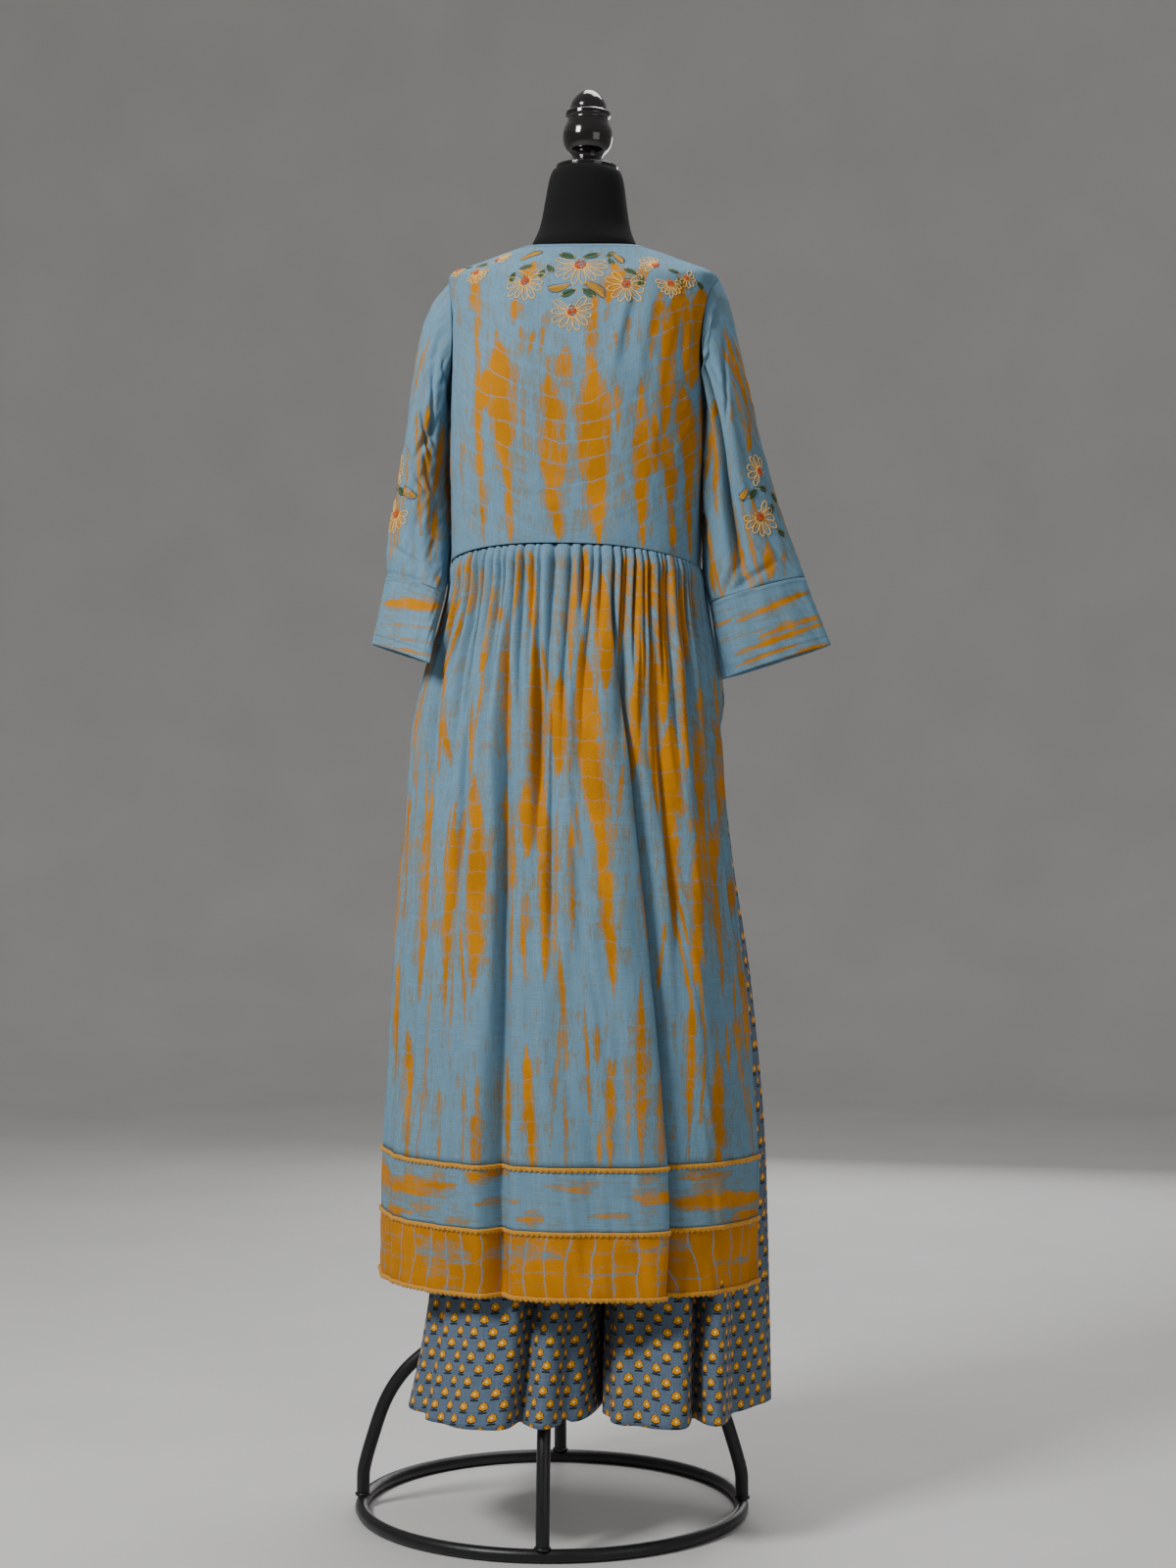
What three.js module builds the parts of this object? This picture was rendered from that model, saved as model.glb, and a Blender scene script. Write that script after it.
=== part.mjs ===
// Kurti set on a dress form: a yoked, gathered kurti over wide trousers, on a limbless form
// with a round-bar stand. Millimetres, +Z up. The set faces +Y, so its back faces -Y and the
// wearer's right is +X. The origin is on the floor under the middle of the whole set.
import * as THREE from 'three';
import { mergeVertices } from 'three/addons/utils/BufferGeometryUtils.js';

// ---- driving dimensions -------------------------------------------------------------------
const SET_CENTRE = [50, 0];         // middle of the whole set, from the stand's axis
const WALL = 1.4;                   // cloth
const SEAM_GAP = 0.3;               // between sewn pieces
const FORM_CLEARANCE = 1.8;         // cloth to dress form
const FORM_LEAN = rad(1.5);         // the form leans to the wearer's right
const BAR = 16;                     // round bar of the stand
const RING_RADIUS = 239.4;          // outside of the ring
const STAND_YAW = rad(7.1);
const HUB = { radius: 20, bottom: 238, top: 278 };
const POST_RADIUS = 13;
const TORSO_BOTTOM = 900;
const SKIRT_AXIS_X = 32.4;          // the skirt hangs plumb from the leaning waist
const WAIST_BACK = 1167.4;          // waist seam at the centre back
const SLIT_TOP = 1035;              // the side seams are open below this
const BAND = { top: 443, middle: 370, bottom: 292 };
const TRIM = { height: 6, depth: 2.2, lift: 1 };
const TROUSER = { waist: 1138, bandBottom: 1106, crotchTop: 905, crotch: 800, hem: 150 };

// Rings of the bodice, from the waist seam to the neckline. Heights are at the centre back, the
// centre front and the sides; half sizes are of a superellipse; armhole is the widest angle from
// the centre that the cloth reaches.
const BODICE_COLUMNS = ['v', 'zBack', 'zFront', 'zSide', 'halfWidth', 'back', 'front', 'power', 'armhole'];
const BODICE = table(BODICE_COLUMNS, [
  [0.00, 1168, 1166, 1150, 152.0, 116, 112, 2.50, 90],
  [0.22, 1238, 1236, 1222, 153.5, 120, 120, 2.50, 90],
  [0.42, 1302, 1300, 1290, 156.0, 124, 131, 2.50, 90],
  [0.60, 1362, 1356, 1366, 156.5, 124, 132, 2.50, 90],
  [0.66, 1386, 1376, 1392, 157.0, 122, 126, 2.45, 74],
  [0.74, 1417, 1404, 1426, 159.0, 118, 117, 2.40, 70],
  [0.82, 1448, 1430, 1462, 162.0, 113, 106, 2.35, 71],
  [0.88, 1472, 1450, 1488, 164.5, 106, 96, 2.30, 76],
  [0.92, 1488, 1462, 1504, 165.5, 100, 88, 2.25, 90],
  [0.96, 1509, 1476, 1523, 122.0, 85, 82, 2.15, 90],
  [1.00, 1532, 1492, 1541, 75.0, 70, 76, 2.00, 90],
]);
const V_UNDERARM = 0.60;
const V_SHOULDER = 0.92;

// The form below the waist, down to its rounded bottom.
const HIP = table(['z', 'halfWidth', 'halfDepth'], [
  [1150, 134, 101], [1092, 130.5, 99], [1000, 132, 100], [950, 130, 98], [920, 120, 90],
  [905, 100, 72], [900, 70, 46],
]);
const HIP_ROUNDING = 0.88;          // power of sine and cosine round the hips
const NECK = table(['z', 'radius'], [
  [1534.3, 66], [1543, 64.5], [1552, 60.5], [1564, 56], [1578, 53], [1600, 49.5], [1622, 46], [1634, 42], [1637, 38],
]);
const FINIAL = table(['z', 'radius'], [
  [1637.4, 0], [1637.4, 38], [1641, 38], [1644, 31], [1648, 21], [1652, 18.6], [1657, 21], [1662, 26], [1669, 29.4],
  [1677, 30.6], [1686, 29.6], [1694, 26.4], [1700, 25], [1703, 27.6], [1707, 27.6], [1710, 23], [1718, 21.4],
  [1727, 16], [1733, 8.6], [1736, 0],
]);

// Sleeve rings from the armhole to the cuff hem. Outer is the edge away from the body, inner the
// edge along it; thick is half the depth across them.
const SLEEVE_COLUMNS = ['t', 'outerX', 'outerY', 'outerZ', 'innerX', 'innerY', 'innerZ', 'thick', 'fit'];
const SLEEVE_RIGHT = table(SLEEVE_COLUMNS, [
  [0.00, 0, 0, 0, 0, 0, 0, 56, 1.0],
  [0.07, 216, 4, 1474, 198, 2, 1345, 58, 0.75],
  [0.16, 228, 4, 1424, 198, 2, 1312, 58, 0.4],
  [0.28, 243, 4, 1360, 197, 1, 1272, 55, 0.1],
  [0.42, 258, 5, 1290, 196, -2, 1226, 51, 0],
  [0.56, 277, 6, 1221, 195, -8, 1178, 44, 0],
  [0.68, 296, 7, 1168, 194, -14, 1133, 36, 0],
  [0.78, 309, 8, 1134, 195, -18, 1102, 29, 0],
  [0.88, 324, 8, 1093, 203, -22, 1056, 22, 0],
  [1.00, 339, 8, 1052, 212, -26, 1010, 16, 0],
]);
const SLEEVE_LEFT = table(SLEEVE_COLUMNS, [
  [0.00, 0, 0, 0, 0, 0, 0, 56, 1.0],
  [0.07, -152, 2, 1474, -127, 0, 1348, 58, 0.75],
  [0.16, -167, 1, 1428, -128, -2, 1318, 58, 0.4],
  [0.28, -173, 0, 1366, -129, -8, 1280, 56, 0.1],
  [0.42, -178, -2, 1292, -128, -20, 1236, 51, 0],
  [0.56, -186, -8, 1221, -126, -38, 1188, 44, 0],
  [0.68, -194, -14, 1166, -124, -60, 1146, 35, 0],
  [0.78, -199, -18, 1134, -123, -78, 1116, 27, 0],
  [0.88, -208, -24, 1097, -126, -100, 1073, 20, 0],
  [1.00, -217, -30, 1055, -128, -124, 1028, 14, 0],
]);
const T_CUFF = 0.78;
const UNDERARM_EASE = 2.7;
const SEAT_OWN = 0.8;               // how far the wall keeps the sleeve's own direction at the seam

// The skirt's sections, before folds: half widths to the wearer's left and right, half depth.
const SKIRT = table(['z', 'left', 'right', 'depth'], [
  [270, 241, 228, 214], [429, 238, 230, 207], [537, 233, 223, 201], [670, 226, 212, 192], [825, 214, 194, 178],
  [933, 205, 182, 164], [1022, 186, 171, 148], [1080, 166, 160, 133], [1125, 155.5, 154, 120.5], [1168, 152, 152, 115],
]);
// Folds of the skirt: angle at the waist and at the hem from the centre back (positive to the
// wearer's right), depth (inward is positive) and half width in degrees, and the heights between
// which the fold runs. Sharp folds are steeper on the side towards the centre back.
const FOLD_COLUMNS = ['waist', 'hem', 'depth', 'spread', 'top', 'bottom', 'sharp'];
const FOLDS_BACK = table(FOLD_COLUMNS, [
  [-74, -66, 6, 5, 1120, 300, 0],
  [-50, -54, 10, 6, 1130, 430, 0],
  [-33, -31, 9, 5, 1140, 560, 0],
  [-17, -21, 24, 7, 1150, 200, 0],
  [-8, -4, 6, 3.5, 1150, 900, 0],
  [-3, 3, 9, 4.5, 1150, 520, 0],
  [9, 14, 7, 4, 1140, 860, 0],
  [25, 38.5, 26, 7, 1140, 200, 1],
  [17, 31, -9, 7, 1140, 200, 0],
  [46, 52, -5, 6, 1120, 420, 0],
  [59, 70, 10, 5, 1120, 560, 0],
]);
const FOLDS_FRONT = table(FOLD_COLUMNS, [
  [112, 118, 10, 5, 1120, 380, 0],
  [132, 128, 14, 6, 1140, 220, 0],
  [150, 148, 9, 5, 1140, 560, 0],
  [163, 160, 20, 7, 1150, 200, 0],
  [176, 178, 9, 5, 1150, 620, 0],
  [189, 193, 22, 7, 1150, 200, 0],
  [204, 206, 8, 5, 1140, 640, 0],
  [221, 226, 15, 6, 1140, 240, 0],
  [243, 240, 9, 5, 1120, 420, 0],
]);
const GATHERS_BACK = 28;            // across the back of the waist seam
const GATHERS_FRONT = 20;
const GATHER_DEPTH = 1.3;
const BAND_COLUMNS = 36;

// Trouser leg sections at a height: x of the outer and inner side, y of the back and the front.
const LEG_COLUMNS = ['z', 'outer', 'inner', 'back', 'front'];
const LEG_RIGHT = table(LEG_COLUMNS, [
  [150, 252, 77, -206, 118], [215, 250, 75, -180, 123], [285, 248, 73, -150, 128], [430, 247, 66, -141, 130], [640, 236, 55, -132, 124],
  [800, 217, 45, -123, 116], [890, 210, 38, -114, 111], [1000, 192, 33, -108, 108], [1106, 168, 31, -105, 105],
]);
const LEG_LEFT = table(LEG_COLUMNS, [
  [150, -156, 75, -240, 104], [215, -146, 73, -206, 111], [285, -140, 71, -176, 118], [430, -136, 64, -162, 124], [640, -130, 53, -140, 120],
  [800, -122, 43, -124, 116], [890, -117, 36.6, -114, 111], [1000, -113, 31.6, -108, 108], [1106, -106, 29.6, -105, 105],
]);
// Folds of the legs: angle round the leg from its back (positive outwards), depth and half width
// in degrees at the hem; they fade out to nothing at the top height.
const LEG_FOLD_COLUMNS = ['angle', 'depth', 'spread', 'top'];
const LEG_FOLDS_RIGHT = table(LEG_FOLD_COLUMNS, [
  [-30, 8, 9, 800], [0, 8, 8, 760], [28, 26, 8, 700], [62, 14, 10, 900], [94, -19, 10, 1050], [126, 12, 10, 760],
  [154, 12, 10, 760], [196, 18, 11, 700], [236, 12, 10, 700],
]);
const LEG_FOLDS_LEFT = table(LEG_FOLD_COLUMNS, [
  [-48, 14, 9, 800], [-12, 12, 9, 760], [20, 7, 8, 700], [48, 12, 9, 700], [100, 14, 10, 700], [128, 12, 9, 700],
  [160, 14, 10, 700], [200, 16, 11, 700], [240, 12, 10, 700],
]);
const LEG_POWER = { outer: 2.15, inner: 3 };
const HIP_POWER = 2.3;
const ARCH_CLEARANCE = 22;          // hem above the bars that it lies over
const ARCH_NOTCH = { flat: 24, spread: 62 };
const HEM_PASSES = 3;               // the hem's height settles after these

const COLOURS = {
  cloth: { color: 0x7f9fb4, roughness: 0.86, metalness: 0 },
  trim: { color: 0xd8932a, roughness: 0.8, metalness: 0 },
  trousers: { color: 0x55697b, roughness: 0.88, metalness: 0 },
  form: { color: 0x0c0c0d, roughness: 0.95, metalness: 0 },
  finial: { color: 0x0a0908, roughness: 0.18, metalness: 0 },
  bar: { color: 0x111214, roughness: 0.42, metalness: 0.55 },
};

// ---- small helpers --------------------------------------------------------------------------
function rad(degrees) {
  return degrees * Math.PI / 180;
}

function table(columns, rows) {
  return rows.map((row) => Object.fromEntries(columns.map((name, i) => [name, row[i]])));
}

// Smooth value of one column at a key, through every row of a table.
function at(rows, key, column, x) {
  let i = 0;
  while (i < rows.length - 2 && (x - rows[i + 1][key]) * (rows[1][key] - rows[0][key]) > 0) i += 1;
  const slope = (a, b) => (rows[b][column] - rows[a][column]) / (rows[b][key] - rows[a][key]);
  const span = rows[i + 1][key] - rows[i][key];
  const t = THREE.MathUtils.clamp((x - rows[i][key]) / span, 0, 1);
  const here = slope(i, i + 1);
  const tangent = (k) => {
    if (k === 0 || k === rows.length - 1) return here;
    const before = slope(k - 1, k);
    const after = slope(k, k + 1);
    return before * after <= 0 ? 0 : 2 * before * after / (before + after);
  };
  const start = rows[i][column];
  const end = rows[i + 1][column];
  const t2 = t * t;
  const t3 = t2 * t;
  return (2 * t3 - 3 * t2 + 1) * start + (t3 - 2 * t2 + t) * span * tangent(i)
    + (3 * t2 - 2 * t3) * end + (t3 - t2) * span * tangent(i + 1);
}

function smooth(from, to, x) {
  const t = THREE.MathUtils.clamp((x - from) / (to - from), 0, 1);
  return t * t * (3 - 2 * t);
}

function mix(a, b, t) {
  return a + (b - a) * t;
}

function spread(from, to, count) {
  return Array.from({ length: count + 1 }, (_, i) => mix(from, to, i / count));
}

function power(value, exponent) {
  return Math.sign(value) * Math.abs(value) ** exponent;
}

// A point of the leaning form, moved to where it stands.
function lean(x, y, z) {
  return new THREE.Vector3(
    x * Math.cos(FORM_LEAN) + z * Math.sin(FORM_LEAN), y, z * Math.cos(FORM_LEAN) - x * Math.sin(FORM_LEAN));
}

// A closed body from an array of rings of points, each ring closed, with a fan over each end.
function bodyFromRings(rings) {
  const count = rings[0].length;
  const points = rings.flat();
  const faces = [];
  for (let r = 0; r < rings.length - 1; r += 1) {
    for (let c = 0; c < count; c += 1) {
      const d = (c + 1) % count;
      faces.push([r * count + c, r * count + d, (r + 1) * count + d], [r * count + c, (r + 1) * count + d, (r + 1) * count + c]);
    }
  }
  for (const [ring, turn] of [[0, 1], [rings.length - 1, -1]]) {
    const centre = rings[ring].reduce((sum, p) => sum.add(p), new THREE.Vector3()).divideScalar(count);
    points.push(centre);
    for (let c = 0; c < count; c += 1) {
      const d = (c + 1) % count;
      const face = [ring * count + d, ring * count + c, points.length - 1];
      faces.push(turn > 0 ? face : face.reverse());
    }
  }
  return geometryFrom(points, faces);
}

// A cloth wall on surface(u, v) at the given steps: the points, the same points moved in along
// normal(u, v), and the edges between them. A wall closed in u runs all round. Both faces of the
// wall are cut along the same diagonals, so that they stay apart where the cloth twists.
function clothWall(surface, normal, us, vs, { closed = false, wall = WALL } = {}) {
  const outer = us.map((u) => vs.map((v) => surface(u, v)));
  const inner = us.map((u, i) => vs.map((v, j) => outer[i][j].clone().addScaledVector(normal(u, v), -wall)));
  const points = us.flatMap((_, i) => [...outer[i], ...inner[i].reverse()]);
  const count = vs.length;
  const size = 2 * count;
  const faces = [];
  for (let i = 0; i < (closed ? us.length : us.length - 1); i += 1) {
    const next = (i + 1) % us.length;
    for (let c = 0; c < size; c += 1) {
      const e = (c + 1) % size;
      const [a, b, d, f] = [i * size + c, i * size + e, next * size + e, next * size + c];
      if (c < count) faces.push([a, b, d], [a, d, f]);
      else faces.push([a, b, f], [b, d, f]);
    }
  }
  if (closed) return geometryFrom(points, faces);
  for (const [i, turn] of [[0, 1], [us.length - 1, -1]]) {
    for (let j = 0; j < count - 1; j += 1) {
      const a = i * size + j;
      const b = i * size + j + 1;
      const c = i * size + size - 2 - j;
      const d = i * size + size - 1 - j;
      for (const face of [[b, a, d], [b, d, c]]) faces.push(turn > 0 ? face : face.reverse());
    }
  }
  return geometryFrom(points, faces);
}

function geometryFrom(points, faces) {
  const volume = faces.reduce((sum, [a, b, c]) => (
    sum + points[a].dot(new THREE.Vector3().crossVectors(points[b], points[c]))), 0);
  const geometry = new THREE.BufferGeometry();
  geometry.setAttribute('position', new THREE.Float32BufferAttribute(points.flatMap((p) => p.toArray()), 3));
  geometry.setIndex(faces.flatMap((face) => (volume < 0 ? [...face].reverse() : face)));
  return geometry;
}

const kurtiSet = new THREE.Group();
const stood = new THREE.Group();
stood.position.set(-SET_CENTRE[0], -SET_CENTRE[1], 0);
kurtiSet.add(stood);

function add(name, geometry, look) {
  const mesh = new THREE.Mesh(geometry, new THREE.MeshStandardMaterial(COLOURS[look]));
  mesh.name = name;
  stood.add(mesh);
  return mesh;
}

function plain(geometry) {
  geometry.deleteAttribute('normal');
  geometry.deleteAttribute('uv');
  return mergeVertices(geometry, 1e-4);
}

// ---- stand: ring, four arched bars, hub and post ---------------------------------------------
const ARCH = table(['radius', 'z'], [
  [231.4, 16.4], [231.2, 40], [218, 92], [203, 133], [183, 164], [150, 194], [100, 224], [62, 243], [38, 251], [20.8, 252],
]);

function ring() {
  const sides = 8;
  const profile = [];
  for (let i = 0; i <= sides; i += 1) {
    const angle = 2 * Math.PI * (i + 0.5) / sides;
    const reach = BAR / 2 / Math.cos(Math.PI / sides);
    profile.push(new THREE.Vector2(RING_RADIUS - BAR / 2 + reach * Math.cos(angle), reach * Math.sin(angle)));
  }
  return plain(new THREE.LatheGeometry(profile, 36));
}

function arch(azimuth) {
  const path = new THREE.CatmullRomCurve3(ARCH.map(({ radius, z }) => (
    new THREE.Vector3(radius * Math.cos(azimuth), radius * Math.sin(azimuth), z))));
  const section = new THREE.Shape();
  section.absarc(0, 0, BAR / 2, 0, 2 * Math.PI);
  return plain(new THREE.ExtrudeGeometry(section, { steps: 11, curveSegments: 4, extrudePath: path }));
}

const ringMesh = add('stand_ring', ring(), 'bar');
ringMesh.rotation.x = Math.PI / 2;
ringMesh.position.z = BAR / 2;
['right', 'front', 'left', 'rear'].forEach((name, i) => {
  add(`stand_leg_${name}`, arch(STAND_YAW + i * Math.PI / 2), 'bar');
});
const hub = add('stand_hub', plain(new THREE.CylinderGeometry(HUB.radius, HUB.radius, HUB.top - HUB.bottom, 16)), 'bar');
hub.rotation.x = Math.PI / 2;
hub.position.z = (HUB.top + HUB.bottom) / 2;

const postBottom = new THREE.Vector3(0, 0, HUB.top + 1);
const postTop = lean(0, 0, TORSO_BOTTOM - 0.8);
const post = add('stand_post', plain(new THREE.CylinderGeometry(
  POST_RADIUS, POST_RADIUS, postTop.distanceTo(postBottom), 16)), 'bar');
post.position.copy(postBottom).lerp(postTop, 0.5);
post.quaternion.setFromUnitVectors(new THREE.Vector3(0, 1, 0), postTop.clone().sub(postBottom).normalize());

// ---- bodice surface, and the form inside it ----------------------------------------------------
function bodicePoint(theta, v) {
  const value = (column) => at(BODICE, 'v', column, v);
  const angle = rad(theta);
  const facesBack = Math.cos(angle) >= 0;
  const exponent = 2 / value('power');
  const centreHeight = value(facesBack ? 'zBack' : 'zFront');
  const rise = Math.abs(Math.cos(angle)) ** 1.6;
  return lean(
    value('halfWidth') * power(Math.sin(angle), exponent),
    -(facesBack ? value('back') : value('front')) * power(Math.cos(angle), exponent),
    mix(value('zSide'), centreHeight, rise));
}

function bodiceNormal(theta, v) {
  const low = Math.max(v - 0.004, 0);
  const high = Math.min(v + 0.004, 1);
  const around = bodicePoint(theta + 1, v).sub(bodicePoint(theta - 1, v));
  return around.cross(bodicePoint(theta, high).sub(bodicePoint(theta, low))).normalize();
}

// Angles round the form, shared with the waistband that sits on it.
function formAngles() {
  return spread(-180, 180, 24).slice(0, -1);
}

function waistbandPoint(theta, z) {
  const across = (column, rows) => at(rows, 'z', column, z);
  const centreX = (across('inner', LEG_RIGHT) + across('inner', LEG_LEFT)) / 2;
  const halfWidth = (across('outer', LEG_RIGHT) - across('outer', LEG_LEFT)) / 2;
  const exponent = 2 / HIP_POWER;
  return new THREE.Vector3(
    centreX + halfWidth * power(Math.sin(rad(theta)), exponent),
    -across('front', LEG_RIGHT) * power(Math.cos(rad(theta)), exponent), z);
}

function waistbandNormal(theta) {
  return new THREE.Vector3(Math.sin(rad(theta)), -Math.cos(rad(theta)), 0);
}

function torso() {
  const inset = WALL + FORM_CLEARANCE;
  const thetas = formAngles();
  const bodiceRows = [1, 0.97, 0.95, 0.92, 0.9, 0.86, 0.8, 0.72, 0.64, 0.54, 0.42, 0.2];
  const neckSeat = thetas.map((theta) => lean(
    NECK[0].radius * Math.sin(rad(theta)), -NECK[0].radius * Math.cos(rad(theta)), NECK[0].z - SEAM_GAP));
  const rings = [neckSeat, ...bodiceRows.map((v) => thetas.map((theta) => (
    bodicePoint(theta, v).addScaledVector(bodiceNormal(theta, v), -inset)
  )))];
  const hips = HIP.map(({ z, halfWidth, halfDepth }) => thetas.map((theta) => lean(
    halfWidth * power(Math.sin(rad(theta)), HIP_ROUNDING), -halfDepth * power(Math.cos(rad(theta)), HIP_ROUNDING), z)));
  const underWaistband = [TROUSER.waist, TROUSER.bandBottom + 1].map((z) => thetas.map((theta) => (
    waistbandPoint(theta, z).addScaledVector(waistbandNormal(theta), -WALL - SEAM_GAP))));
  rings.push(hips[0], ...underWaistband, ...hips.slice(1));
  return bodyFromRings(rings);
}

function turned(profile) {
  const flat = profile.map(({ z, radius }) => new THREE.Vector2(radius, z));
  return plain(new THREE.LatheGeometry(flat, 16));
}

add('form_torso', torso(), 'form');
const neckBottom = new THREE.Vector2(0, NECK[0].z);
const neckTop = new THREE.Vector2(0, NECK.at(-1).z);
const neckProfile = [neckBottom, ...NECK.map(({ z, radius }) => new THREE.Vector2(radius, z)), neckTop];
const neck = add('form_neck', plain(new THREE.LatheGeometry(neckProfile, 20)), 'form');
const finial = add('form_finial', turned(FINIAL), 'finial');
for (const mesh of [neck, finial]) {
  mesh.rotation.set(Math.PI / 2, 0, 0);
  const tilted = new THREE.Group();
  tilted.rotation.y = FORM_LEAN;
  tilted.add(mesh);
  stood.add(tilted);
}

// ---- bodice panels --------------------------------------------------------------------------
// Rows at the armhole are shared by the panels and the sleeves, so that their edges match.
const ARMHOLE_ROWS = [0.6, 0.63, 0.66, 0.7, 0.74, 0.78, 0.82, 0.86, 0.89, 0.92];
const BODICE_ROWS = [0.002, 0.22, 0.42, ...ARMHOLE_ROWS, 0.955, 1];

function bodicePanel(centre) {
  const sideSeam = 0.1;             // degrees kept back from the side and shoulder seams
  const surface = (s, v) => {
    const reach = at(BODICE, 'v', 'armhole', v) - sideSeam;
    return bodicePoint(centre + s * reach, v);
  };
  const normal = (s, v) => bodiceNormal(centre + s * (at(BODICE, 'v', 'armhole', v) - sideSeam), v);
  return clothWall(surface, normal, spread(-1, 1, 18), BODICE_ROWS);
}

add('bodice_back', bodicePanel(0), 'cloth');
add('bodice_front', bodicePanel(180), 'cloth');

// ---- sleeves and cuffs ------------------------------------------------------------------------
// The armhole's edge: angle 0 at the shoulder tip, 90 at the back, 180 under the arm.
function armhole(side, phi) {
  const turn = ((phi % 360) + 360) % 360;
  const down = turn <= 180 ? turn / 180 : (360 - turn) / 180;
  const v = mix(V_SHOULDER, V_UNDERARM, down);
  const reach = at(BODICE, 'v', 'armhole', v);
  const theta = turn <= 180 ? reach : 180 - reach;
  return { theta: side * theta, v };
}

function armholePoint(side, phi) {
  const edge = armhole(side, phi);
  return bodicePoint(edge.theta, edge.v);
}

function sleeveSurface(side, rows) {
  const shoulder = armholePoint(side, 0);
  const underarm = armholePoint(side, 180);
  const first = rows[0];
  [first.outerX, first.outerY, first.outerZ] = shoulder.toArray();
  [first.innerX, first.innerY, first.innerZ] = underarm.toArray();
  const edge = (name, t) => new THREE.Vector3(
    at(rows, 't', `${name}X`, t), at(rows, 't', `${name}Y`, t), at(rows, 't', `${name}Z`, t));
  const oval = (phi, t) => {
    const outer = edge('outer', t);
    const inner = edge('inner', t);
    const centre = outer.clone().add(inner).divideScalar(2);
    const ahead = edge('outer', t + 0.02).add(edge('inner', t + 0.02));
    const behind = edge('outer', Math.max(t - 0.02, 0)).add(edge('inner', Math.max(t - 0.02, 0)));
    const across = outer.clone().sub(inner);
    const axis = t > 0.97 ? edge('outer', 1).add(edge('inner', 1)).sub(edge('outer', 0.94)).sub(edge('inner', 0.94))
      : ahead.sub(behind);
    const deep = across.clone().cross(axis).normalize().multiplyScalar(-side * at(rows, 't', 'thick', t));
    return centre.addScaledVector(across, Math.cos(rad(phi)) / 2).addScaledVector(deep, Math.sin(rad(phi)));
  };
  return (phi, t) => {
    const stray = armholePoint(side, phi).sub(oval(phi, 0));
    return oval(phi, t).addScaledVector(stray, at(rows, 't', 'fit', t));
  };
}

function sleeveWall(side, rows, ts) {
  const surface = sleeveSurface(side, rows);
  const start = 0.012;
  const seated = (phi, t) => {
    if (t > start) return surface(phi, t);
    const edge = armhole(side, phi);
    const along = armholePoint(side, phi + 1).sub(armholePoint(side, phi - 1));
    const outward = along.cross(bodiceNormal(edge.theta, edge.v)).multiplyScalar(-side).normalize();
    return surface(phi, 0).addScaledVector(outward, SEAM_GAP)
      .addScaledVector(new THREE.Vector3(side, 0, 0), UNDERARM_EASE * (1 - Math.cos(rad(phi))) / 2);
  };
  const normal = (phi, t) => {
    const low = Math.max(t - 0.005, 0);
    const along = surface(phi, Math.min(t + 0.005, 1)).sub(surface(phi, low));
    const own = surface(phi + 2, t).sub(surface(phi - 2, t)).cross(along).multiplyScalar(-side).normalize();
    if (t > start) return own;
    // At the armhole the wall turns a little towards the bodice's direction.
    const edge = armhole(side, phi);
    return bodiceNormal(edge.theta, edge.v).lerp(own, mix(SEAT_OWN, 1, (1 - Math.cos(rad(phi))) / 2)).normalize();
  };
  const down = ARMHOLE_ROWS.map((v) => 180 * (V_SHOULDER - v) / (V_SHOULDER - V_UNDERARM)).reverse();
  const phis = [...down, ...down.slice(1, -1).reverse().map((phi) => 360 - phi)];
  return clothWall(seated, normal, phis, ts, { closed: true });
}

const CUFF_SEAM = 0.0008;
for (const [name, side, rows] of [['right', 1, SLEEVE_RIGHT], ['left', -1, SLEEVE_LEFT]]) {
  add(`sleeve_${name}`, sleeveWall(side, rows, [0, 0.035, 0.1, 0.19, 0.3, 0.46, 0.62, T_CUFF - CUFF_SEAM]), 'cloth');
  add(`cuff_${name}`, sleeveWall(side, rows, [T_CUFF + CUFF_SEAM, 0.89, 1]), 'cloth');
}

// ---- skirt panels, hem bands and trims -------------------------------------------------------
function waistHeight(theta) {
  return bodicePoint(theta, 0).z;
}

function foldDepth(folds, theta, z) {
  const down = THREE.MathUtils.clamp((WAIST_BACK - z) / (WAIST_BACK - BAND.bottom), 0, 1);
  return folds.reduce((sum, fold) => {
    const centre = mix(fold.waist, fold.hem, Math.sqrt(down));
    const away = theta - centre;
    const reach = fold.sharp && away < 0 ? fold.spread * 0.45 : fold.spread;
    const grown = smooth(fold.top, fold.top - 260, z) * smooth(fold.bottom, fold.bottom + 120, z);
    const hemward = mix(0.55, 1, down);
    return sum + fold.depth * hemward * grown * Math.exp(-((away / reach) ** 2));
  }, 0);
}

function gatherDepth(theta, z) {
  const back = Math.abs(theta) <= 90;
  const count = back ? GATHERS_BACK : GATHERS_FRONT;
  const waves = count * (theta + 90) / 180;
  const below = waistHeight(theta) - z;
  const grow = mix(0.7, 1.9, smooth(0, 90, below)) * (1 - smooth(70, 330, below));
  return GATHER_DEPTH * grow * (1 - Math.cos(2 * Math.PI * waves));
}

// The skirt's outside at an angle from the centre back and a height.
function skirtPoint(theta, z) {
  const angle = rad(theta);
  const side = Math.sin(angle) < 0 ? 'left' : 'right';
  const exponent = 2 / mix(2.1, 2.5, smooth(950, 1150, z));
  const folds = Math.abs(theta) <= 90 ? FOLDS_BACK : FOLDS_FRONT;
  const inward = foldDepth(folds, theta, z) + gatherDepth(theta, z);
  const halfWidth = at(SKIRT, 'z', side, z);
  const halfDepth = at(SKIRT, 'z', 'depth', z);
  const x = halfWidth * power(Math.sin(angle), exponent);
  const y = -halfDepth * power(Math.cos(angle), exponent);
  const scale = 1 - inward / Math.hypot(x, y);
  return new THREE.Vector3(SKIRT_AXIS_X + x * scale, y * scale, z);
}

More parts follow.
